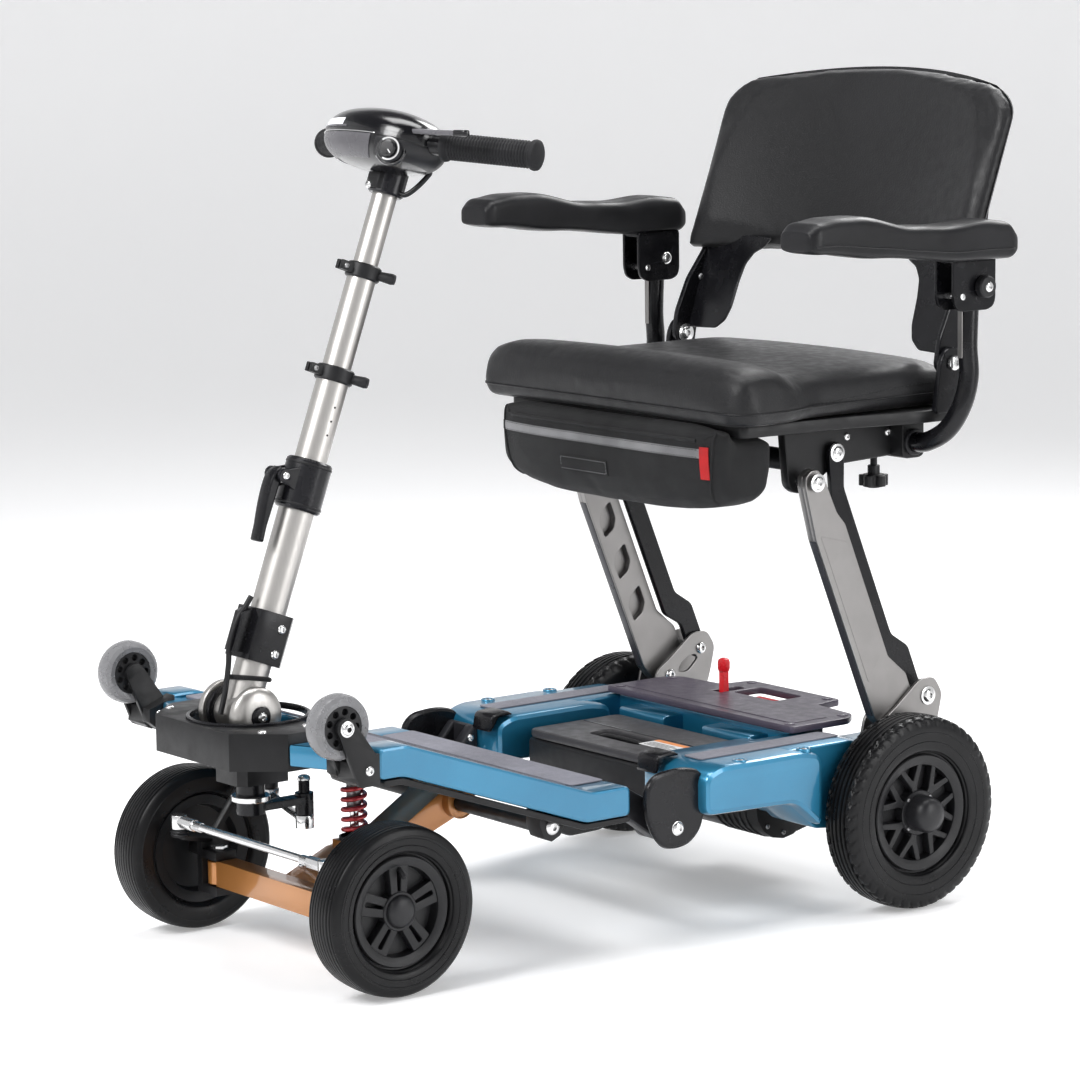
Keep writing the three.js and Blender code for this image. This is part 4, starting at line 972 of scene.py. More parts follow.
def nose_bracket():
    refined("nose_bracket", "black_coat", "front_frame", 0.0022, 3)
    for side, s in SIDES:
        for k, y in enumerate((-0.086, -0.032)):
            screw(f"nose_top_screw_{side}_{k}", at(s * 0.088, y, 0.267), Z_AXIS, "front_frame", 0.0046,
                0.0026)
    lip = [(0.0605, -0.0035), (0.0645, -0.0035), (0.0652, 0.0), (0.065, 0.0024), (0.063, 0.0032),
        (0.0612, 0.0026), (0.0605, 0.0), (0.0605, -0.0035)]
    turned("nose_opening_rim", lip, at(0, -0.045, 0.267), Z_AXIS, "satin_coat", "front_frame", 72)


def trolley_arms():
    for side, s in SIDES:
        refined(f"trolley_arm_{side}", "black_coat", "front_frame", 0.0014, 2)
        wheel = at(s * 0.216, -0.069, 0.288)
        turned(f"trolley_washer_{side}", rounded_end(0.0082, 0, 0.0012, 0.0003), wheel, X_AXIS * s,
            "bright", "front_frame", 32)
        screw(f"trolley_bolt_{side}", wheel + X_AXIS * s * 0.001, X_AXIS * s, "front_frame", 0.0062, 0.0034)
        screw(f"trolley_corner_bolt_{side}", at(s * 0.216, -0.043, 0.242), X_AXIS * s, "front_frame",
            0.0052, 0.003)
        screw(f"trolley_shoe_bolt_{side}", at(s * 0.168, -0.05, 0.244), X_AXIS * -s, "front_frame", 0.0045,
            0.003)


# Where the spring stands and its two ends, metres.
SPRING_Y, SPRING_LOW, SPRING_HIGH = 0.085, 0.1199, 0.1844


def suspension():
    refined("pivot_tube", "black_coat", "front_frame", 0.0016, 2)
    refined("suspension_arm", "orange", "suspension_arm", 0.0022, 3)
    for side, s in SIDES:
        screw(f"pivot_end_bolt_{side}", at(s * 0.196, 0.2, 0.146), X_AXIS * s, "front_frame", 0.0085, 0.004)
        turned(f"kingpin_nut_{side}", rounded_end(0.0085, 0, 0.005, 0.0008), at(s * 0.134, 0, 0.094),
            Z_AXIS, "bright", f"knuckle_{side}", 6)
        refined(f"knuckle_{side}", "black_coat", f"knuckle_{side}", 0.0015, 2)
    turned("pivot_bearing_ring", ring_profile(0.0172, 0.0186, -0.037, 0.037), at(0, 0.2, 0.146), X_AXIS,
        "orange", "suspension_arm", 48)
    for i, (x, y) in enumerate(((-0.019, 0.03), (0.019, 0.03))):
        screw(f"arm_screw_{i}", at(x, y, 0.0925), Vector((0, -0.4, 1)), "suspension_arm", 0.004, 0.0024)
    coil = []
    turns, r, per_turn = 6, 0.012, 28
    for i in range(turns * per_turn + 1):
        t = i / (turns * per_turn)
        a = 2 * math.pi * turns * t
        coil.append(at(r * math.cos(a), SPRING_Y + r * math.sin(a),
            SPRING_LOW + (SPRING_HIGH - SPRING_LOW) * t))
    spring = tube("spring_coil", coil, 0.0026, "red_lacquer", "front_frame", 0, False, ("coil_spring",))
    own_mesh(spring)
    refined("damper_body", "dull_metal", "front_frame", 0.001, 2)
    refined("damper_rod", "bright", "damper_rod", 0.0006, 2)
    cup = [(0.0085, 0), (0.016, 0), (0.0168, 0.001), (0.0168, 0.0042), (0.015, 0.005), (0.015, 0.0012),
        (0.0085, 0.0012), (0.0085, 0)]
    turned("spring_seat_cup", cup, at(0, SPRING_Y, 0.116), Z_AXIS, "black_coat", "suspension_arm", 40)


def steering():
    refined("steering_post", "satin_coat", "steering_post", 0.0016, 3)
    refined("tie_rod", "bright", "tie_rod", 0.0008, 2)
    refined("drag_link", "bright", "drag_link", 0.0008, 2)
    thread_turns = 9
    for side, s in SIDES:
        for i in range(thread_turns):
            ring = ring_profile(0.0042, 0.0052, 0, 0.0007, 0.0003)
            turned(f"tie_rod_thread_{side}_{i}", ring, at(s * (0.096 + i * 0.0014), -0.046, 0.131), X_AXIS,
                "bright", "tie_rod", 24)
        boot = [(0, 0), (0.0085, 0), (0.01, 0.0015), (0.0088, 0.003), (0.0102, 0.0045), (0.0086, 0.0062),
            (0.0065, 0.0075), (0, 0.0075)]
        turned(f"tie_rod_boot_{side}", boot, at(s * 0.14, -0.046, 0.115), Z_AXIS, "black_plastic",
            f"knuckle_{side}", 32)
    screw("ball_joint_nut", at(0, 0.022, 0.19), Z_AXIS, "steering_post", 0.007, 0.0045)
    collar = ring_profile(0.0155, 0.0205, -0.003, 0.003)
    turned("post_lower_ring", collar, at(0, -0.045, 0.18), Z_AXIS, "bright", "steering_post", 40)


# ---- tiller ---------------------------------------------------------------------------


def on_tiller(name, profile, look, body, sides=56, stands_for=()):
    """A turned piece round the tiller's axis, its heights measured from the fold pivot."""
    return turned(name, profile, TILLER_FOOT, TILLER_UP, look, body, sides, stands_for)


def hollow(inner, outer, low, high, edge=0.0009):
    return [(inner, low), (outer - edge, low), (outer, low + edge), (outer, high - edge),
        (outer - edge, high), (inner + edge * 0.4, high), (inner, high - edge * 0.4), (inner, low)]


def tiller_foot():
    head = [(0, -0.019), (0.0195, -0.019), (0.021, -0.0175), (0.021, 0.0175), (0.0195, 0.019), (0, 0.019)]
    turned("tiller_head", head, TILLER_FOOT, X_AXIS, "tube", "tiller", 48, ("tiller_base",))
    on_tiller("tiller_base_tube", hollow(0.0176, 0.019, 0.0, 0.268), "tube", "tiller")
    on_tiller("tiller_top_rim", hollow(0.0175, 0.0196, 0.262, 0.268, 0.0006), "tube", "tiller")
    for side, s in SIDES:
        disc = [(0.007, 0.0254), (0.0292, 0.0254), (0.0302, 0.0266), (0.0302, 0.0318), (0.029, 0.034),
            (0.0262, 0.0366), (0.0222, 0.0388), (0.017, 0.0398), (0.012, 0.04), (0.0118, 0.0392),
            (0.007, 0.039), (0.007, 0.0254)]
        turned(f"pivot_disc_{side}", disc, TILLER_FOOT, X_AXIS * s, "tube", "tiller", 72)
        button = [(0, 0.026), (0.0112, 0.026), (0.0112, 0.0412), (0.01, 0.0424), (0.0066, 0.0428),
            (0, 0.0428)]
        turned(f"pivot_button_{side}", button, TILLER_FOOT, X_AXIS * s, "satin_coat", "tiller", 48)
        screw(f"pivot_bolt_{side}", TILLER_FOOT + X_AXIS * s * 0.0424, X_AXIS * s, "tiller", 0.0052, 0.0022)


def tiller_sleeve():
    refined("tiller_sleeve", "satin_coat", "tiller", 0.0042, 4)
    for side, s in SIDES:
        for k, (back, up) in enumerate(((0.006, 0.066), (0.006, 0.093))):
            screw(f"sleeve_bolt_{side}_{k}", tiller_at(s * 0.024, back, up), X_AXIS * s, "tiller", 0.005,
                0.0028)
    collar_body = hollow(0.0192, 0.0245, 0.217, 0.271, 0.0022)
    on_tiller("clamp_collar", collar_body, "satin_coat", "tiller", 64, ("tube_clamp",))
    for k, up in enumerate((0.2225, 0.2655)):
        on_tiller(f"clamp_collar_groove_{k}", hollow(0.024, 0.025, up - 0.0012, up + 0.0012, 0.0005),
            "black_coat", "tiller", 64)
    ear = [(-0.034, 0.24), (-0.018, 0.235), (-0.018, 0.261), (-0.034, 0.254)]
    for side, s in SIDES:
        low, high = ordered(s, 0.0095, 0.015)
        place = facing(TILLER_FOOT, TILLER_BACK, TILLER_UP)
        plate(f"clamp_ear_{side}", ear, low, high, place, "satin_coat", "tiller", (), 0.0006, 0.0012)
        eye = hollow(0.003, 0.008, 0.0095, 0.015, 0.001)
        turned(f"clamp_ear_eye_{side}", eye, tiller_at(0, -0.034, 0.247), X_AXIS * s, "satin_coat",
            "tiller", 32)
        screw(f"clamp_pin_head_{side}", tiller_at(s * 0.015, -0.034, 0.247), X_AXIS * s, "tiller", 0.0042,
            0.0022)
    turned("clamp_pin", rounded_end(0.003, -0.0145, 0.0145, 0.0004), tiller_at(0, -0.034, 0.247), X_AXIS,
        "bright", "tiller", 24)
    clamp_lever()


def clamp_lever():
    """The cam lever in front of the collar: a smooth handle that hangs down along the tube."""
    centre = [(-0.034, 0.253), (-0.0395, 0.242), (-0.04, 0.22), (-0.039, 0.196), (-0.0375, 0.174)]
    spine = [Vector((b, u, 0)) for b, u in centre]
    path = spline_points(spine, 5)
    front, rear = [], []
    for i, p in enumerate(path):
        t = i / (len(path) - 1)
        before, after = path[max(0, i - 1)], path[min(len(path) - 1, i + 1)]
        along = (after - before).normalized()
        half = 0.005 * (0.75 + 0.5 * math.sin(math.pi * min(1.0, t * 1.1 + 0.12)))
        across = Vector((-along.y, along.x, 0)) * half
        front.append((p.x + across.x, p.y + across.y))
        rear.append((p.x - across.x, p.y - across.y))
    place = facing(TILLER_FOOT, TILLER_BACK, TILLER_UP)
    plate("clamp_lever_handle", front + rear[::-1], -0.0085, 0.0085, place, "satin_coat", "clamp_lever", (),
        0.003, 0.0026, ("clamp_lever",))
    hub = [(0.0034, -0.0085), (0.0066, -0.0085), (0.0075, -0.0075), (0.0075, 0.0075), (0.0066, 0.0085),
        (0.0034, 0.0085), (0.0034, -0.0085)]
    turned("clamp_lever_hub", hub, tiller_at(0, -0.034, 0.247), X_AXIS, "satin_coat", "clamp_lever", 40)


def ring_clamp(name, up, outer, bore, body):
    on_tiller(f"{name}_ring", hollow(bore, outer, up - 0.008, up + 0.008, 0.0016), "black_coat", body)
    place = facing(TILLER_FOOT, X_AXIS, TILLER_BACK)
    for k in (-1, 1):
        lug = rectangle(k * 0.0012, k * 0.0062, -outer - 0.0135, -outer + 0.003)
        plate(f"{name}_lug_{'left' if k > 0 else 'right'}", lug if k > 0 else lug[::-1], up - 0.005,
            up + 0.005, place, "black_coat", body, (), 0.0012, 0.0006)
    screw(f"{name}_screw", tiller_at(0.0062, -outer - 0.008, up), X_AXIS, body, 0.0028, 0.002, "dull_metal")
    knob = [(0, -0.004), (0.0048, -0.004), (0.0052, 0.004), (0.006, 0.014), (0.0052, 0.0175), (0, 0.0182)]
    away = (X_AXIS + TILLER_BACK * 0.9).normalized()
    turned(f"{name}_knob", knob, tiller_at(0, 0, up) + away * (outer - 0.001), away, "black_plastic", body,
        32)


def sliding_tubes():
    on_tiller("lower_tube_wall", hollow(0.0158, 0.0173, 0.17, 0.364), "tube", "lower_tube", 56,
        ("lower_tube",))
    on_tiller("middle_tube_wall", hollow(0.0136, 0.0155, 0.245, 0.476), "tube", "middle_tube", 56,
        ("middle_tube",))
    on_tiller("top_tube_wall", rounded_end(0.0133, 0.39, 0.61, 0.0006), "tube", "head", 56, ("top_tube",))
    ring_clamp("lower_ring_clamp", 0.364, 0.0205, 0.0158, "lower_tube")
    ring_clamp("middle_ring_clamp", 0.476, 0.0185, 0.0136, "middle_tube")
    for i, up in enumerate((0.3, 0.315, 0.33)):
        mark = rounded_end(0.0012, 0, 0.0004, 0.0001)
        turned(f"lower_tube_mark_{i}", mark, tiller_at(0.0171, 0, up), X_AXIS, "black_plastic",
            "lower_tube", 16)


# The cable's run in the tiller's frame, metres: down from the sleeve and past the strap.
CABLE_ROUTE = ((0, -0.0255, 0.118), (0, -0.029, 0.106), (0, -0.0345, 0.09), (0, -0.035, 0.064),
    (0.001, -0.03, 0.042), (0.003, -0.0265, 0.015), (0.005, -0.026, -0.008))


def tiller_dressings():
    route = [tiller_at(*p) for p in CABLE_ROUTE]
    tube("tiller_cable", route, 0.003, "black_plastic", "tiller")
    loop = []
    for i in range(28):
        a = 2 * math.pi * i / 28
        loop.append(tiller_at(0.0205 * math.cos(a), 0.0205 * math.sin(a), 0.036 + 0.004 * math.sin(a + 0.6)))
    tube("tiller_strap", loop, 0.0026, "bag", "tiller", 2, True)


# ---- console and handlebar ------------------------------------------------------------

CONSOLE_MIDDLE = at(0, 0.143, 0.852)


def console_point(angle, height, grow=1.0):
    """A point on the console's rounded shell: angle from the left towards the back, height -1 to 1."""
    flat = max(0.0, 1 - abs(height) ** 2.5) ** (1 / 2.2) * grow
    x = 0.083 * flat * eased(math.cos(angle), 0.88)
    back = 0.049 * flat * eased(math.sin(angle), 0.88)
    rise = 0.033 * height * (grow if abs(height) > 0.3 else 1.0)
    return CONSOLE_MIDDLE + X_AXIS * x + TILLER_BACK * back + TILLER_UP * rise


def console_patch(name, look, angles, heights, grow, thick, body="head", stands_for=(), steps=(48, 14)):
    """A shell piece of the console between two angles and two heights, given in degrees and shares."""
    closed = angles[1] - angles[0] >= 359
    columns, rows = steps
    points, faces = [], []
    for j in range(rows + 1):
        ease = 0.5 - 0.5 * math.cos(math.pi * j / rows) if closed else j / rows
        h = heights[0] + (heights[1] - heights[0]) * ease
        for i in range(columns + (0 if closed else 1)):
            a = math.radians(angles[0] + (angles[1] - angles[0]) * i / columns)
            points.append(console_point(a, h, grow))
    width = columns if closed else columns + 1
    for j in range(rows):
        for i in range(columns):
            k = (i + 1) % width
            faces.append((j * width + i, j * width + k, (j + 1) * width + k, (j + 1) * width + i))
    obj = merged(from_lists(name, points, faces), 0.00005)
    modifier = obj.modifiers.new("thickness", "SOLIDIFY")
    modifier.thickness = thick
    modifier.offset = -1.0
    obj = bevelled(obj, min(0.0005, thick * 0.3), 2, 60.0)
    return show(outward(obj), look, body, 40.0, stands_for)


def console():
    console_patch("console_dome", "gloss_black", (0, 360), (0.06, 0.9999), 1.0, 0.002, "head", ("console",),
        (96, 28))
    console_patch("console_bowl", "gloss_black", (0, 360), (-0.9999, -0.1), 0.985, 0.002, "head", (),
        (96, 24))
    console_patch("console_lower_shell", "silver_plastic", (172, 292), (-0.8, -0.12), 1.008, 0.0025)
    console_patch("console_right_shell", "dark_plastic", (-62, 76), (-0.72, -0.16), 1.004, 0.0025)
    console_patch("console_belt", "gloss_black", (0, 360), (-0.13, 0.09), 0.992, 0.003, "head", (), (96, 4))
    console_patch("console_trim", "bright", (168, 296), (-0.095, -0.06), 1.016, 0.002, "head", (), (60, 3))
    console_patch("console_front_lamp", "lamp", (188, 262), (0.1, 0.34), 1.012, 0.002)
    console_patch("console_lamp_frame", "silver_plastic", (183, 267), (0.05, 0.11), 1.014, 0.002)
    console_patch("console_display", "gloss_black", (50, 130), (0.5, 0.86), 1.02, 0.001)
    for i, a in enumerate((205, 235, 305, 335)):
        out = console_point(math.radians(a), -0.72, 0.985)
        away = (out - CONSOLE_MIDDLE).normalized()
        screw(f"console_screw_{i}", out - away * 0.0008, away, "head", 0.0028, 0.0012, "dull_metal")
    neck = hollow(0.0135, 0.019, 0.56, 0.59, 0.002)
    on_tiller("console_neck", neck, "satin_coat", "head")
    clip = [(-0.01, -0.0205), (0.01, -0.0205), (0.012, -0.015), (-0.012, -0.015)]
    plate("console_neck_clip", clip, 0.563, 0.58, facing(TILLER_FOOT, X_AXIS, TILLER_BACK), "black_coat",
        "head", (), 0.001, 0.0008)
    screw("console_neck_bolt", tiller_at(-0.004, -0.0205, 0.566), TILLER_BACK * -1, "head", 0.0046, 0.003)
    hook = [at(0.008, 0.141, 0.815), at(0.014, 0.146, 0.803), at(0.021, 0.15, 0.7975),
        at(0.029, 0.157, 0.803), at(0.037, 0.167, 0.815), at(0.039, 0.17, 0.822), at(0.03, 0.16, 0.828),
        at(0.018, 0.148, 0.83)]
    tube("bag_hook", hook, 0.0028, "satin_coat", "head", 6)


def handlebar():
    bends = ((0.184, 0.1965, 0.843), (0.092, 0.151, 0.851), (0.03, 0.1405, 0.852))
    path = [at(*p) for p in bends] + [at(0, 0.14, 0.852)] + [at(-x, y, z) for x, y, z in reversed(bends)]
    tube("handlebar_tube", path, 0.011, "satin_coat", "head", 8)
    for side, s in SIDES:
        start, end = at(s * 0.092, 0.151, 0.851), at(s * 0.184, 0.1965, 0.843)
        axis = (end - start).normalized()
        length = (end - start).length
        profile = [(0.0112, 0.001), (0.0158, 0.001), (0.0164, 0.003), (0.0158, 0.0055), (0.0142, 0.007)]
        ridges = 26
        span = length * 0.99 - 0.012
        for i in range(ridges):
            z = 0.009 + span * i / ridges
            step = span / ridges
            profile += [(0.0136, z), (0.0143, z + step * 0.25), (0.0143, z + step * 0.62),
                (0.0136, z + step * 0.85)]
        tail = length * 0.99
        profile += [(0.0138, tail), (0.0156, tail + 0.0012), (0.0162, tail + 0.0035),
            (0.0156, tail + 0.0062), (0.0128, tail + 0.0078), (0.0, tail + 0.0082)]
        obj = turned(f"grip_{side}_sleeve", profile, start, axis, "grip", "head", 48, (f"grip_{side}",))
        knurl(obj, start, axis, 14, 0.009, tail)


def knurl(obj, start, axis, count, low, high):
    """Cuts shallow lengthwise grooves into a grip, so that its ribs become rows of blocks."""
    across = axis.orthogonal().normalized()
    other = axis.cross(across)
    for vertex in obj.data.vertices:
        away = vertex.co - start
        along = away.dot(axis)
        if low < along < high - 0.001:
            a = math.atan2(away.dot(other), away.dot(across))
            if math.sin(a * count) > 0.55:
                radial = (away - axis * along)
                vertex.co -= radial.normalized() * 0.0007


def speed_dial():
    start, end = at(0.0495, 0.1204, 0.8449), at(0.065, 0.098, 0.8508)
    axis = (end - start).normalized()
    base = [(0, 0), (0.0132, 0), (0.0132, 0.0205), (0.0122, 0.0222), (0.0108, 0.0226), (0.0, 0.0226)]
    turned("speed_dial_body", base, start, axis, "dark_plastic", "speed_dial", 48, ("speed_dial",))
    knob = [(0, 0.022), (0.0092, 0.022), (0.0088, 0.0268), (0.0076, 0.0278), (0, 0.028)]
    turned("speed_dial_knob", knob, start, axis, "gloss_black", "speed_dial", 10)
    place = facing(start, axis.orthogonal(), axis.cross(axis.orthogonal()))
    arc = []
    for i in range(19):
        a = math.radians(20 + 250 * i / 18)
        arc.append((0.0121 * math.cos(a), 0.0121 * math.sin(a)))
    for i in range(18, -1, -1):
        a = math.radians(20 + 250 * i / 18)
        arc.append((0.0104 * math.cos(a), 0.0104 * math.sin(a)))
    plate("speed_dial_scale", arc, 0.0224, 0.023, place, "label", "speed_dial", (), 0.0, 0.0001)
    mark = rectangle(-0.0006, 0.0006, 0.002, 0.0068)
    plate("speed_dial_mark", mark, 0.0278, 0.0283, place, "label", "speed_dial", (), 0.0, 0.0001)
    ring = [(0.0134, 0), (0.0162, 0), (0.017, 0.002), (0.0162, 0.004), (0.0134, 0.004), (0.0134, 0)]
    turned("speed_dial_ring", ring, start + axis * 0.0125, axis, "gloss_black", "head", 48)


def throttle():
    lever = [(0.055, 0.127), (0.07, 0.1235), (0.118, 0.124), (0.142, 0.1285), (0.142, 0.1362),
        (0.116, 0.1335), (0.07, 0.1375), (0.056, 0.137)]
    plate("throttle_blade", lever, 0.864, 0.869, TOP_VIEW, "silver_plastic", "throttle_lever", (), 0.004,
        0.0014, ("throttle_lever",))
    tip = [(0.138, 0.1275), (0.154, 0.1312), (0.156, 0.1352), (0.154, 0.1392), (0.138, 0.1368)]
    plate("throttle_tip", tip, 0.8632, 0.8698, TOP_VIEW, "gloss_black", "throttle_lever", (), 0.003, 0.0016)
    boss = [(0, 0.862), (0.007, 0.862), (0.007, 0.87), (0.006, 0.8715), (0, 0.8718)]
    turned("throttle_boss", boss, at(0.062, 0.132, 0), Z_AXIS, "silver_plastic", "throttle_lever", 32)


# ---- seat -----------------------------------------------------------------------------


def between_pivots(foot, top):
    """The plane of a seat strut, with its first axis across it, towards the back, and its second along it."""
    along = (at(0, *top) - at(0, *foot)).normalized()
    across = Vector((0, along.z, -along.y))
    return facing(at(0, *foot), across, along), (at(0, *top) - at(0, *foot)).length


def seat_legs():
    place, length = between_pivots(LEG_FOOT, LEG_TOP)
    half, end, flare = 0.022, 0.014, 0.038
    edge = [(-end, -0.002), (-half, 0.02), (-half, length - 0.06), (-end, length), (-0.009, length + 0.011),
        (0, length + 0.014), (0.009, length + 0.011), (end, length), (half - 0.006, length - 0.045),
        (half, length - 0.062), (half, 0.074), (flare, 0.044), (flare, 0.01), (end, -0.002),
        (0.009, -0.011), (0, -0.014), (-0.009, -0.011)]
    slots = []
    for k in range(3):
        low = 0.078 + 0.056 * k
        slots.append([(-0.013, low), (0.002, low + 0.004), (0.009, low + 0.014), (0.009, low + 0.036),
            (-0.006, low + 0.03), (-0.013, low + 0.02)])
    panel = [(-half + 0.007, 0.06), (half - 0.005, 0.084), (half - 0.005, length - 0.082),
        (-half + 0.007, length - 0.058)]
    bores = [circle(0, 0, 0.0054, 20), circle(0, length, 0.0054, 20)]
    for side, s in SIDES:
        body = f"seat_leg_{side}"
        low, high = ordered(s, 0.2035, 0.21)
        plate(f"leg_outer_{side}", edge, low, high, place, "plate_metal", body, bores, 0.003, 0.001,
            (f"seat_leg_{side}",))
        low, high = ordered(s, 0.1955, 0.2036)
        plate(f"leg_inner_{side}", edge, low, high, place, "plate_metal", body, bores + slots, 0.003, 0.001)
        low, high = ordered(s, 0.2095, 0.2104)
        plate(f"leg_panel_{side}", panel, low, high, place, "plate_metal", body, (), 0.004, 0.0003)
        strip = [(-half - 0.0006, 0.022), (-half - 0.0006, length - 0.062),
            (-half + 0.0004, length - 0.062), (-half + 0.0004, 0.022)]
        low, high = ordered(s, 0.1975, 0.208)
        plate(f"leg_edge_channel_{side}", strip, low, high, place, "grey_cast", body, (), 0.0, 0.0002)


def seat_links():
    place, length = between_pivots(LINK_FOOT, LINK_TOP)
    half, jog, end = 0.012, 0.017, 0.012
    edge = [(-half, 0), (-half, 0.038), (-half - jog, 0.06), (-half - jog, length - 0.055), (-half, length),
        (-0.007, length + 0.01), (0, length + 0.012), (0.007, length + 0.01), (half, length),
        (half - jog, length - 0.04), (half - jog, 0.078), (half, 0.054), (half, 0), (0.007, -0.01),
        (0, -0.012), (-0.007, -0.01)]
    bores = [circle(0, 0, 0.0054, 20), circle(0, length, 0.0054, 20)]
    for side, s in SIDES:
        low, high = ordered(s, 0.186, 0.193)
        plate(f"link_bar_{side}", edge, low, high, place, "satin_coat", f"seat_link_{side}", bores, 0.005,
            0.0014, (f"seat_link_{side}",))


def seat_pan():
    pan = [(-206, 454), (206, 454), (214, 600), (234, 680), (236, 754), (-236, 754), (-234, 680), (-214, 600)]
    outline = metres(pan)
    plate("seat_pan_plate", outline, 0.531, 0.5447, TOP_VIEW, "black_coat", "seat", (), 0.01, 0.0025,
        ("seat_base",))
    turned("seat_cross_tube", rounded_end(0.012, -0.178, 0.178, 0.001), at(0, 0.565, 0.494), X_AXIS,
        "black_coat", "seat", 40)
    rail = [(536, 470), (548, 461), (562, 463), (604, 488), (700, 492), (722, 500), (722, 533), (530, 533)]
    side_plates("seat_rail", rail, 172, 184, "black_coat", "seat", 0.006, 0.0016)
    hinge = [(701, 540), (753, 540), (744, 601), (733, 612), (719, 612), (710, 599)]
    side_plates("back_hinge_plate", hinge, 231.2, 238, "satin_coat", "seat", 0.007, 0.0014)
    socket = [(684, 492), (690, 489), (710, 489), (716, 492), (716, 532), (684, 532)]
    bore = [(700 + 11.3 * math.cos(a * math.pi / 12), 507 + 11.3 * math.sin(a * math.pi / 12))
        for a in range(24)]
    side_plates("armrest_socket", socket, 118, 204, "black_coat", "seat", 0.003, 0.0012, (bore,))
    for side, s in SIDES:
        pin(f"back_hinge_pin_{side}", s, at(s * 0.223, *BACK_PIVOT), 0.007, 0, 0.018, "seat", 32)
        pin(f"leg_pin_{side}", s, at(s * 0.18, *LEG_TOP), 0.005, 0, 0.0346, "seat")
        pin(f"link_pin_{side}", s, at(s * 0.18, *LINK_TOP), 0.005, 0, 0.014, "seat")
    for side, s in SIDES:
        for k, (pivot, x) in enumerate(((LEG_TOP, 0.2146), (LINK_TOP, 0.193))):
            pin(f"seat_pivot_washer_{side}_{k}", s, at(s * x, *pivot), 0.01, 0, 0.0012, "seat", 32, 0.0003)
            screw(f"seat_pivot_bolt_{side}_{k}", at(s * (x + 0.001), *pivot), X_AXIS * s, "seat", 0.0072,
                0.003)
            screw(f"seat_pivot_nut_{side}_{k}", at(s * 0.172, *pivot), X_AXIS * -s, "seat", 0.0066, 0.004)
        screw(f"back_hinge_screw_{side}", at(s * 0.241, *BACK_PIVOT), X_AXIS * s, "seat", 0.008, 0.0026)
        turned(f"back_hinge_washer_{side}", rounded_end(0.011, 0, 0.0014, 0.0004),
            at(s * 0.223, *BACK_PIVOT), X_AXIS * -s, "bright", "seat", 40)
        screw(f"back_hinge_inner_screw_{side}", at(s * 0.2218, *BACK_PIVOT), X_AXIS * -s, "seat", 0.0075,
            0.003)
        for k, y in enumerate((0.62, 0.68)):
            screw(f"pan_rail_screw_{side}_{k}", at(s * 0.184, y, 0.518), X_AXIS * s, "seat", 0.0045, 0.0026)


def subdivided(obj):
    modifier = obj.modifiers.new("finer", "SUBSURF")
    modifier.levels = 1
    return applied(obj)


def voxelled(obj, size):
    modifier = obj.modifiers.new("remesh", "REMESH")
    modifier.mode = "VOXEL"
    modifier.voxel_size = size
    modifier.use_smooth_shade = True
    return applied(obj)


CLOTH_STEPS = 20


def stuffed(obj, voxel, pressure, cap, floor=None):
    """Puffs a closed shape up as cloth under pressure, then makes the result its mesh."""
    obj = voxelled(obj, voxel)
    start = [v.co.copy() for v in obj.data.vertices]
    cloth = obj.modifiers.new("cloth", "CLOTH")
    cloth.settings.quality = 5
    cloth.settings.mass = 0.3
    cloth.settings.tension_stiffness = 12
    cloth.settings.compression_stiffness = 12
    cloth.settings.bending_stiffness = 3
    cloth.settings.use_pressure = True
    cloth.settings.uniform_pressure_force = pressure
    cloth.settings.effector_weights.gravity = 0
    cloth.point_cache.frame_start = 1
    cloth.point_cache.frame_end = CLOTH_STEPS
    for step in range(1, CLOTH_STEPS + 1):
        bpy.context.scene.frame_set(step)
    obj = applied(obj)
    bpy.context.scene.frame_set(1)
    for vertex, rest in zip(obj.data.vertices, start):
        move = vertex.co - rest
        if move.length > cap:
            move *= cap / move.length
        vertex.co = rest + move
        if floor is not None and vertex.co.z < floor:
            vertex.co.z = floor
    soften = obj.modifiers.new("soften", "SMOOTH")
    soften.factor = 0.5
    soften.iterations = 2
    return subdivided(obj)


def closed_grid(name, near, far, columns, rows):
    """A closed form between two surfaces of (u, v), joined round their edges."""
    layers = []
    for surface in (near, far):
        layers.append([[surface(i / columns, j / rows) for i in range(columns + 1)] for j in range(rows + 1)])
    return outward(merged(layered(name, *layers), 0.00002))


def surface_of(obj):
    points = [v.co.copy() for v in obj.data.vertices]
    return BVHTree.FromPolygons(points, [tuple(p.vertices) for p in obj.data.polygons])


def laid_on(tree, start, direction, lift=0.0):
    """Where a point, moved along a direction, meets a surface, lifted off it by a little."""
    hit = tree.ray_cast(start, Vector(direction).normalized(), 0.6)[0]
    if hit is None:
        hit = tree.find_nearest(start)[0]
    return hit - Vector(direction).normalized() * lift


def ribbon(name, rows, thick, lift_along, look, body):
    """A thin band through rows of points that already lie on a surface."""
    shift = Vector(lift_along).normalized() * thick
    outer = [[p + shift for p in row] for row in rows]
    return show(outward(layered(name, rows, outer)), look, body, 30.0)


def stitches(name, path, stitch, gap, radius, look, body):
    """A run of thread: short rounded rods along a path."""
    points, faces = [], []
    travelled, start = 0.0, None
    for a, b in zip(path, path[1:]):
        length = (b - a).length
        steps = max(1, int(length / 0.0005))
        for k in range(steps):
            p = a.lerp(b, k / steps)
            phase = travelled % (stitch + gap)
            if phase < stitch and start is None:
                start = p
            if phase >= stitch and start is not None:
                rod_between(points, faces, start, p, radius)
                start = None
            travelled += length / steps
    return show(outward(from_lists(name, points, faces)), look, body, 50.0)


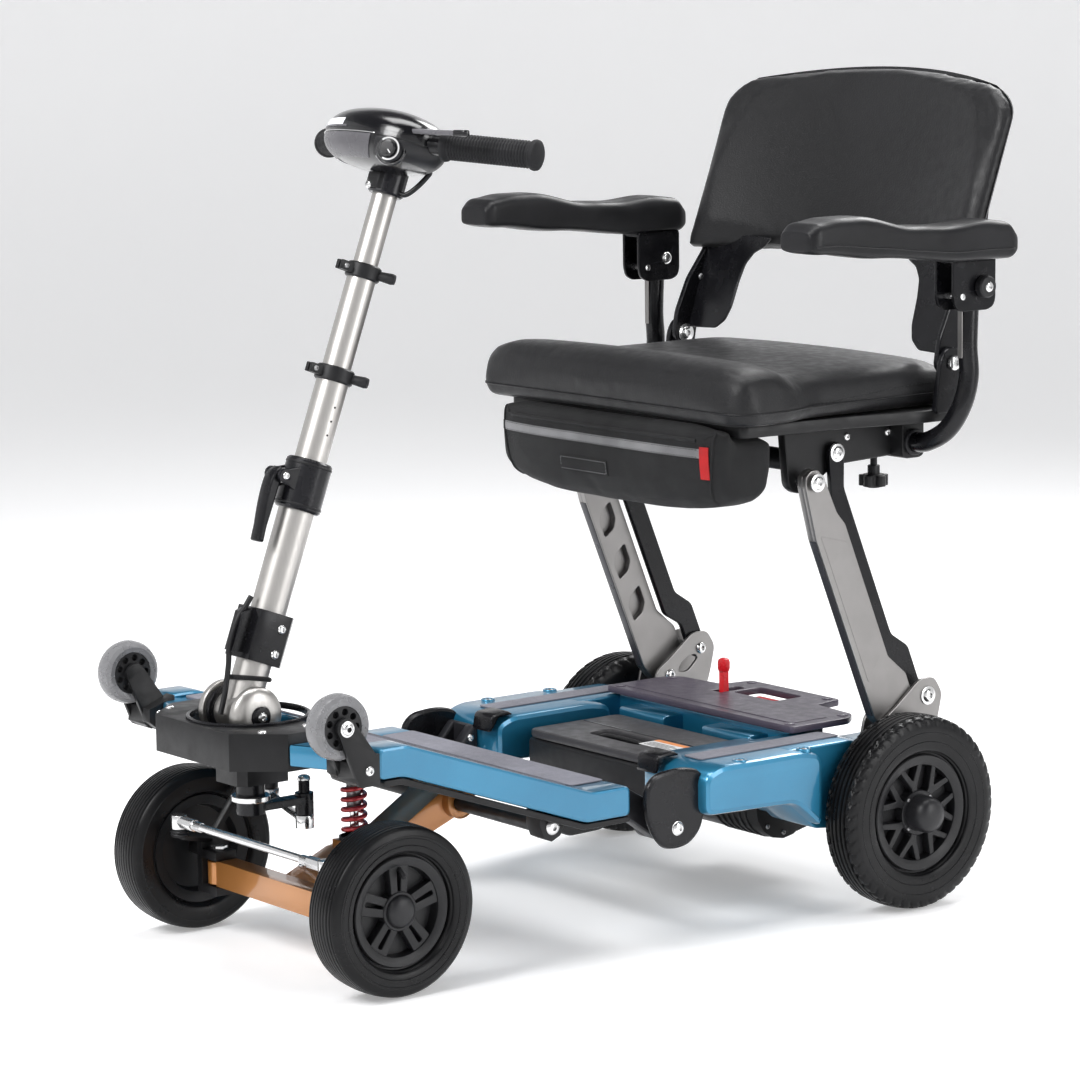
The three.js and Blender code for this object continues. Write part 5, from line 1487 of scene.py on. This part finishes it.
def rod_between(points, faces, a, b, radius, sides=5):
    axis = (b - a)
    if axis.length < 1e-6:
        return
    u = axis.orthogonal().normalized()
    v = axis.normalized().cross(u)
    base = len(points)
    for share, size in ((0, 0.5), (0.2, 1), (0.8, 1), (1, 0.5)):
        centre, r = a.lerp(b, share), radius * size
        for i in range(sides):
            t = 2 * math.pi * i / sides
            points.append(centre + (u * math.cos(t) + v * math.sin(t)) * r)
    for ring in range(3):
        for i in range(sides):
            j = (i + 1) % sides
            low = base + ring * sides
            faces.append((low + i, low + j, low + sides + j, low + sides + i))
    faces.append(tuple(base + i for i in range(sides)))
    faces.append(tuple(base + 3 * sides + i for i in range(sides)))


# The cushion's reach in metres: its front and back from the front axle, then heights.
CUSHION = {"front": 0.4225, "back": 0.76, "bottom": 0.5462, "top": 0.589, "crest": 0.6055}


def cushion_half(v):
    t = min(1.0, max(0.0, (v - 0.2) / 0.2))
    straight = 0.2372 - 0.018 * t * t * (3 - 2 * t)
    end = min(v, 1 - v)
    return straight - 0.022 * max(0.0, 1 - end / 0.08) ** 2.2


def seat_cushion():
    front, back, bottom = CUSHION["front"], CUSHION["back"], CUSHION["bottom"]

    def under(u, v):
        return at((2 * u - 1) * cushion_half(v) * 0.975, front + 0.004 + (back - front - 0.006) * v, bottom)

    def over(u, v):
        w = abs(2 * u - 1)
        across = (1 - w ** 12) ** 0.4
        along = min(1.0, v / 0.055) ** 0.32 * min(1.0, (1 - v) / 0.05) ** 0.45
        roll = 1 - 1 / (1 + math.exp(-(v - 0.235) / 0.028))
        swell = CUSHION["top"] + (CUSHION["crest"] - CUSHION["top"]) * roll + 0.004 * (1 - w * w)
        low = bottom + 0.016
        return at((2 * u - 1) * cushion_half(v), front + (back - front) * v,
            low + (swell - low) * across * along)

    obj = closed_grid("seat_cushion_cover", under, over, 60, 50)
    obj = stuffed(obj, 0.0055, 1.6, 0.0035, bottom - 0.0008)
    show(obj, "vinyl", "seat", 60.0, ("seat_cushion",))
    tree = surface_of(obj)
    middle, seam_z, radius = 0.5925, 0.56, 0.0013
    path = []
    for i in range(96):
        a = 2 * math.pi * i / 96
        x, y = 0.3 * eased(math.cos(a), 0.35), middle + 0.24 * eased(math.sin(a), 0.35)
        start = at(x, y, seam_z)
        aim = at(x * 0.62, middle + (y - middle) * 0.55, seam_z) - start
        path.append(laid_on(tree, start, aim, radius * 0.15))
    tube("cushion_side_piping", path, radius, "piping", "seat", 2, True)
    for side, s in SIDES:
        curve = []
        for i in range(20):
            t = i / 19
            z = seam_z + 0.0125 * math.sin(math.pi * 0.5 * t) ** 2
            curve.append(laid_on(tree, at(s * 0.3, 0.5 + 0.235 * t, z), X_AXIS * -s, 0.0002))
        stitches(f"cushion_side_stitch_{side}", curve, 0.0038, 0.0018, 0.00045, "piping", "seat")
    seam = []
    for i in range(40):
        seam.append(laid_on(tree, at(-0.195 + 0.39 * i / 39, 0.506, 0.7), Z_AXIS * -1, 0.0002))
    stitches("cushion_front_stitch", seam, 0.0038, 0.0018, 0.00045, "piping", "seat")


def back_point(u, v, depth, grow):
    """A point on the backrest's curved form, its depth measured backwards from the front face."""
    x = 2 * u - 1
    wide = 0.241 + grow - 0.038 * max(0.0, (v - 0.8) / 0.2) ** 2.4
    z = 0.695 - grow + (0.198 + 2 * grow) * v + 0.016 * v * (1 - x * x)
    bow = (0.058 - 0.024 * v) * (1 - x * x)
    return at(x * wide, 0.73 + 0.073 * v + bow + depth, z)


def backrest():
    def edge(u, v):
        return ((1 - abs(2 * u - 1) ** 22) * (1 - abs(2 * v - 1) ** 18)) ** 0.35

    def front(u, v):
        e = edge(u, v)
        return back_point(u, v, 0.0115 - 0.0105 * e, -0.0005)

    def behind(u, v):
        return back_point(u, v, 0.0215, 0.0005)

    obj = closed_grid("backrest_cover", front, behind, 60, 34)
    obj = stuffed(obj, 0.005, 1.5, 0.003)
    show(obj, "vinyl", "backrest", 60.0, ("backrest_pad",))

    def shell_front(u, v):
        return back_point(u, v, 0.0223, 0.0)

    def shell_back(u, v):
        e = edge(u, v)
        return back_point(u, v, 0.0245 + 0.0068 * e, -0.0025 + 0.0015 * e)

    panel = closed_grid("backrest_panel", shell_front, shell_back, 60, 34)
    panel = bevelled(panel, 0.0008, 2, 40.0)
    show(panel, "dark_plastic", "backrest", 45.0, ("backrest_shell",))
    leg = [(-17, -4), (-12, 26), (6, 65), (32, 99), (51, 150), (62, 175), (56, 125), (48, 95), (34, 55),
        (18, 10), (14, -12), (-4, -18)]
    outline = [(727.4 + y, 595 + z) for y, z in leg]
    hinge = [(727.4 + 7.5 * math.cos(a * math.pi / 10), 595 + 7.5 * math.sin(a * math.pi / 10))
        for a in range(20)]
    side_plates("backrest_leg", outline, 223.4, 230.5, "satin_coat", "backrest", 0.006, 0.0014, (hinge,))
    for side, s in SIDES:
        flange = [(0.23, 0.602), (0.23, 0.712), (0.115, 0.712), (0.125, 0.7), (0.14, 0.693), (0.15, 0.68),
            (0.154, 0.66), (0.156, 0.63), (0.162, 0.614), (0.176, 0.604)]
        outline = [(s * x, z) for x, z in flange]
        place = facing(at(0, 0.7275 + 0.0014, 0.595), X_AXIS, Vector((0, 0.32, 0.95)))
        shifted = [(x, (z - 0.595) * 1.05) for x, z in outline]
        plate(f"backrest_gusset_{side}", shifted if s < 0 else shifted[::-1], -0.003, 0.0, place,
            "satin_coat", "backrest", (), 0.004, 0.001)
        for k, (y, z) in enumerate(((0.752, 0.66), (0.768, 0.7))):
            screw(f"backrest_leg_screw_{side}_{k}", at(s * 0.2234, y, z), X_AXIS * -s, "backrest", 0.0042,
                0.0024, "dull_metal")
            screw(f"backrest_leg_outer_screw_{side}_{k}", at(s * 0.2305, y, z), X_AXIS * s, "backrest",
                0.0042, 0.0024, "dull_metal")


BAG_HALF = 0.1965  # half of the bag's width, metres


def bag_section(share):
    """The bag's cross-section: (back, up) points in metres, share 0 in the middle and 1 at the ends."""
    end = share ** 4
    front = 0.4235 + 0.009 * end
    back = 0.511 - 0.004 * end
    bottom = 0.4495 + 0.012 * end - 0.002 * (1 - share ** 2)
    return [(front, 0.5425), (front - 0.001, 0.515), (front, 0.48), (front + 0.006, bottom + 0.01),
        (front + 0.02, bottom + 0.001), (back - 0.024, bottom), (back - 0.008, bottom + 0.01),
        (back - 0.001, bottom + 0.032), (back, 0.5285), (front + 0.02, 0.5285), (front + 0.018, 0.5425)]


def seat_bag():
    columns = 44
    rings = []
    for i in range(columns + 1):
        x = BAG_HALF * math.sin((2 * i / columns - 1) * math.pi / 2)
        section = bag_section(abs(x) / BAG_HALF)
        middle_y, middle_z = (sum(p[k] for p in section) / len(section) for k in (0, 1))
        squeeze = 1.0 - 0.1 * (abs(x) / BAG_HALF) ** 12
        ring = []
        for y, z in section:
            crease = 0.0022 * noise.noise(Vector((x * 16, y * 16, z * 22)))
            ring.append(at(x, middle_y + (y - middle_y) * squeeze + crease,
                middle_z + (z - middle_z) * squeeze))
        rings.append(ring)
    obj = lofted("seat_bag_cover", rings)
    obj = stuffed(obj, 0.0055, 2.0, 0.0035)
    show(obj, "bag", "seat", 60.0, ("seat_bag",))
    tree = surface_of(obj)

    def on_front(x, z, lift=0.0003):
        return laid_on(tree, at(x, 0.36, z), Y_AXIS, lift)

    def across_front(start, width, z, lift=0.0003, steps=60):
        return [on_front(start + width * i / steps, z, lift) for i in range(steps + 1)]

    strip = [across_front(-0.19, 0.36, z) for z in (0.5095, 0.5145, 0.5195)]
    ribbon("bag_reflective_strip", strip, 0.0007, (0, -1, 0), "strip", "seat")
    for name, z in (("low", 0.5105), ("high", 0.5185)):
        stitches(f"bag_strip_stitch_{name}", across_front(-0.188, 0.356, z, 0.0011), 0.003, 0.0016, 0.00035,
            "bag", "seat")
    patch = [across_front(-0.07, 0.084, z, 0.0003, 12) for z in (0.4755, 0.484, 0.4925)]
    ribbon("bag_patch", patch, 0.001, (0, -1, 0), "bag", "seat")
    corners = rectangle(-0.068, 0.012, 0.4775, 0.4905)
    edge = [on_front(x, z, 0.0014) for x, z in corners + corners[:1]]
    stitches("bag_patch_stitch", edge, 0.0024, 0.0012, 0.00035, "strip", "seat")
    tab_heights = (0.487, 0.494, 0.5, 0.507, 0.515, 0.522)
    tab = [[on_front(x, z, 0.0008) for x in (0.168, 0.174, 0.18)] for z in tab_heights]
    ribbon("bag_red_tab", tab, 0.0016, (0.35, -1, 0), "red_cloth", "seat")
    zipper = across_front(-0.166, 0.328, 0.528, 0.0004)
    tube("bag_zip_tape", zipper, 0.0021, "bag", "seat", 0)
    teeth = [p - Y_AXIS * 0.0018 for p in zipper]
    stitches("bag_zip_teeth", teeth, 0.0011, 0.0009, 0.0007, "dark_plastic", "seat")
    for side, s in SIDES:
        seam = []
        for i in range(22):
            t = i / 21
            seam.append(on_front(s * (0.1855 - 0.012 * t ** 2), 0.54 - 0.082 * t, 0.0004))
        tube(f"bag_end_piping_{side}", seam, 0.0015, "bag", "seat", 2)


# ---- armrests -------------------------------------------------------------------------


def along_keys(keys, y):
    """The height at y on a smooth line through (y, z) keys."""
    for (y0, z0), (y1, z1) in zip(keys, keys[1:]):
        if y <= y1:
            t = (y - y0) / (y1 - y0)
            return z0 + (z1 - z0) * t * t * (3 - 2 * t)
    return keys[-1][1]


# An armrest pad's upper and lower edges, seen from the side: millimetres back and up.
PAD_TOP = ((461, 757), (474, 764), (505, 768), (535, 768), (612, 754), (660, 752), (715, 756), (744, 753),
    (759, 742))
PAD_UNDER = ((461, 732), (480, 730.5), (560, 722), (690, 711.5), (748, 711.5), (759, 716))


def armrest_pad(side, s):
    columns, around, pad_x = 48, 30, 0.283
    rings = []
    for i in range(columns + 1):
        share = 0.5 - 0.5 * math.cos(math.pi * i / columns)
        y = 461.5 + 297 * share
        top, under = along_keys(PAD_TOP, y) / 1000, along_keys(PAD_UNDER, y) / 1000
        end = min(1.0, min(share, 1 - share) / 0.035) ** 0.5
        half = 0.0285 * (0.8 + 0.2 * end)
        middle, high = (top + under) / 2, (top - under) / 2 * (0.78 + 0.22 * end)
        ring = []
        for k in range(around):
            a = 2 * math.pi * k / around
            x = pad_x + half * eased(math.cos(a), 0.42)
            up = math.sin(a)
            ring.append(at(s * x, y / 1000, middle + high * eased(up, 0.6 if up > 0 else 0.3)))
        rings.append(ring)
    obj = lofted(f"armrest_foam_{side}", rings)
    obj = subdivided(obj)
    body = f"armrest_pad_{side}"
    show(obj, "armrest", body, 60.0, (f"armrest_pad_{side}",))
    tree = surface_of(obj)
    line = []
    for i in range(40):
        y = 468 + 284 * i / 39
        z = (along_keys(PAD_UNDER, y) * 0.72 + along_keys(PAD_TOP, y) * 0.28) / 1000
        line.append(laid_on(tree, at(s * 0.36, y / 1000, z), X_AXIS * -s, 0.0))
    tube(f"armrest_parting_line_{side}", line, 0.0009, "black_plastic", body, 2)


def armrest_bracket(side, s):
    body = f"armrest_pad_{side}"
    cheek = [(683, 714), (683, 672), (686, 661), (695, 656), (733, 656), (742, 660), (745, 668), (745, 714)]
    outline = metres(cheek)
    for name, x0, x1 in (("inner", 0.2555, 0.2593), ("outer", 0.2827, 0.2865)):
        low, high = ordered(s, x0, x1)
        holes = [circle(*PAD_PIVOT, 0.0048, 20), circle(0.697, 0.672, 0.0034, 16)]
        plate(f"armrest_cheek_{name}_{side}", outline, low, high, SIDE_VIEW, "satin_coat", body, holes,
            0.004, 0.0008)
    low, high = ordered(s, 0.2555, 0.2865)
    plate(f"armrest_cheek_top_{side}", rectangle(0.684, 0.744, 0.7085, 0.714), low, high, SIDE_VIEW,
        "satin_coat", body, (), 0.001, 0.0008)
    pin(f"armrest_pin_{side}", 1, at(s * 0.271, *PAD_PIVOT), 0.005, -0.018, 0.018, body, 24, 0.0005)
    screw(f"armrest_pin_head_{side}", at(s * 0.2553, *PAD_PIVOT), X_AXIS * -s, body, 0.007, 0.003)
    pin(f"armrest_stop_{side}", 1, at(s * 0.271, 0.697, 0.672), 0.0036, -0.0155, 0.0155, body, 24, 0.0005)
    knob = [(0, 0), (0.0105, 0), (0.012, 0.0015), (0.012, 0.0085), (0.0105, 0.0104), (0.005, 0.011),
        (0, 0.011)]
    turned(f"armrest_knob_{side}", knob, at(s * 0.2865, *PAD_PIVOT), X_AXIS * s, "black_plastic", body, 40)
    screw(f"armrest_knob_screw_{side}", at(s * 0.2972, *PAD_PIVOT), X_AXIS * s, body, 0.0055, 0.0022)


def armrest_tube(side, s):
    keys = [(0.12, 0.7, 0.507), (0.17, 0.7, 0.507), (0.206, 0.7, 0.507), (0.228, 0.701, 0.51),
        (0.252, 0.707, 0.525), (0.267, 0.714, 0.552), (0.271, 0.72, 0.583), (0.271, 0.718, 0.617),
        (0.271, 0.7195, 0.655), (0.271, 0.721, 0.694)]
    tube(f"armrest_bar_{side}", [at(s * x, y, z) for x, y, z in keys], 0.011, "satin_coat",
        f"armrest_{side}", 8, False, (f"armrest_tube_{side}",))
    eye = hollow(0.0054, 0.009, -0.011, 0.011, 0.001)
    turned(f"armrest_eye_{side}", eye, at(s * 0.271, *PAD_PIVOT), X_AXIS, "satin_coat", f"armrest_{side}", 40)
    strip = rectangle(-0.0035, 0.0035, 0.604, 0.664)
    place = facing(at(s * 0.271, 0.7075, 0), X_AXIS, Z_AXIS)
    plate(f"armrest_scale_{side}", strip, -0.0004, 0.001, place, "plate_metal", f"armrest_{side}", (),
        0.001, 0.0003)
    sleeve = ring_profile(0.0112, 0.0146, -0.003, 0.003)
    turned(f"armrest_sleeve_{side}", sleeve, at(s * 0.2055, *ARM_SOCKET), X_AXIS, "black_plastic", "seat", 40)


def star_knob(side, s):
    refined(f"star_knob_{side}", "black_plastic", f"star_knob_{side}", 0.002, 3)
    cap = [(0, 0), (0.0078, 0), (0.007, -0.0014), (0, -0.0018)]
    turned(f"star_knob_cap_{side}", cap, at(s * 0.139, 0.7, 0.4512), Z_AXIS, "gloss_black",
        f"star_knob_{side}", 32)


# ---- assembly -------------------------------------------------------------------------

PAIRED = (front_wheel, rear_wheel, trolley_wheel, armrest_pad, armrest_bracket, armrest_tube, star_knob)
SINGLE = (rear_chassis, rear_hinges, rear_cover, seat_brackets, transaxle, battery, freewheel_lever,
    front_chassis, nose_bracket, trolley_arms, suspension, steering, tiller_foot, tiller_sleeve,
    sliding_tubes, tiller_dressings, console, handlebar, speed_dial, throttle, seat_legs, seat_links,
    seat_pan, seat_cushion, backrest, seat_bag)
for SIDE, SIGN in SIDES:
    for build in PAIRED:
        build(SIDE, SIGN)
for build in SINGLE:
    build()


# ---- floor, light and camera ----------------------------------------------------------


def stage_floor():
    """A pale round floor whose edge curves up far behind the camera and the scooter."""
    keys = [(5.0, 0.0), (6.0, 0.08), (6.7, 0.45), (7.1, 1.2), (7.3, 2.4), (7.35, 4.6)]
    profile = [(0.0, 0.0)] + smooth_profile(keys, 5)
    obj = revolved("studio_floor", profile, (0, 0, -0.0006), Matrix.Identity(3), 72)
    obj.data.polygons.foreach_set("use_smooth", [True] * len(obj.data.polygons))
    s = Surface("studio_paper", (0.86, 0.86, 0.865), 0.75)
    s.tinted(s.noise(1.5), (0.83, 0.83, 0.84), 0.0, 0.3)
    s.bumped(s.noise(60.0), 0.00005, 0.3)
    s.shader.inputs["Emission Color"].default_value = (1.0, 1.0, 1.0, 1.0)
    s.shader.inputs["Emission Strength"].default_value = PAPER_GLOW
    obj.data.materials.append(s.material)


def soft_light(name, where, aim, size, power):
    lamp = bpy.data.lights.new(name, "AREA")
    lamp.shape = "RECTANGLE"
    lamp.size, lamp.size_y = size
    lamp.energy = power
    obj = bpy.data.objects.new(name, lamp)
    bpy.context.scene.collection.objects.link(obj)
    obj.location = where
    obj.rotation_euler = (Vector(aim) - Vector(where)).to_track_quat("-Z", "Y").to_euler()


CAMERA = {"azimuth": 52.88, "elevation": 8.66, "roll": -0.77, "distance": 4.3676, "lens": 133.57,
          "target": at(0, 0.33758, 0.41176)}


def from_camera(right, up, towards):
    """A point given by how far it is to the right, up and towards the camera from the target."""
    a = math.radians(CAMERA["azimuth"])
    side = Vector((math.cos(a), math.sin(a), 0))
    forth = Vector((math.sin(a), -math.cos(a), 0))
    return CAMERA["target"] + side * right + Z_AXIS * up + forth * towards


def photo_camera():
    data = bpy.data.cameras.new("photo_camera")
    data.lens = CAMERA["lens"]
    data.sensor_width = 36.0
    obj = bpy.data.objects.new("photo_camera", data)
    bpy.context.scene.collection.objects.link(obj)
    a, e = math.radians(CAMERA["azimuth"]), math.radians(CAMERA["elevation"])
    away = Vector((math.sin(a) * math.cos(e), -math.cos(a) * math.cos(e), math.sin(e)))
    obj.location = CAMERA["target"] + away * CAMERA["distance"]
    level = (away * -1).to_track_quat("-Z", "Y")
    tilt = Matrix.Rotation(math.radians(CAMERA["roll"]), 4, "Z")
    obj.matrix_world = Matrix.Translation(obj.location) @ level.to_matrix().to_4x4() @ tilt
    bpy.context.scene.camera = obj


# Soft boxes: how far right, up and towards the camera (m), width and height (m), and power (W).
LIGHTS = (
    ("key_light", (-1.9, 2.1, 1.6), (1.3, 1.3), 90),
    ("fill_light", (2.3, 0.9, 1.3), (0.9, 2.2), 34),
    ("top_light", (0.0, 2.8, -0.2), (2.4, 1.2), 72),
    ("back_light", (1.3, 1.8, -1.9), (1.6, 1.0), 52),
)
PAPER_GLOW, AIR_STRENGTH = 0.26, 0.16


def studio():
    stage_floor()
    for name, where, size, power in LIGHTS:
        soft_light(name, from_camera(*where), CAMERA["target"], size, power)
    world = bpy.data.worlds.new("studio_air")
    world.use_nodes = True
    world.node_tree.nodes["Background"].inputs["Color"].default_value = (0.95, 0.96, 1.0, 1.0)
    world.node_tree.nodes["Background"].inputs["Strength"].default_value = AIR_STRENGTH
    bpy.context.scene.world = world
    bpy.context.scene.view_settings.view_transform = "Standard"


studio()
photo_camera()
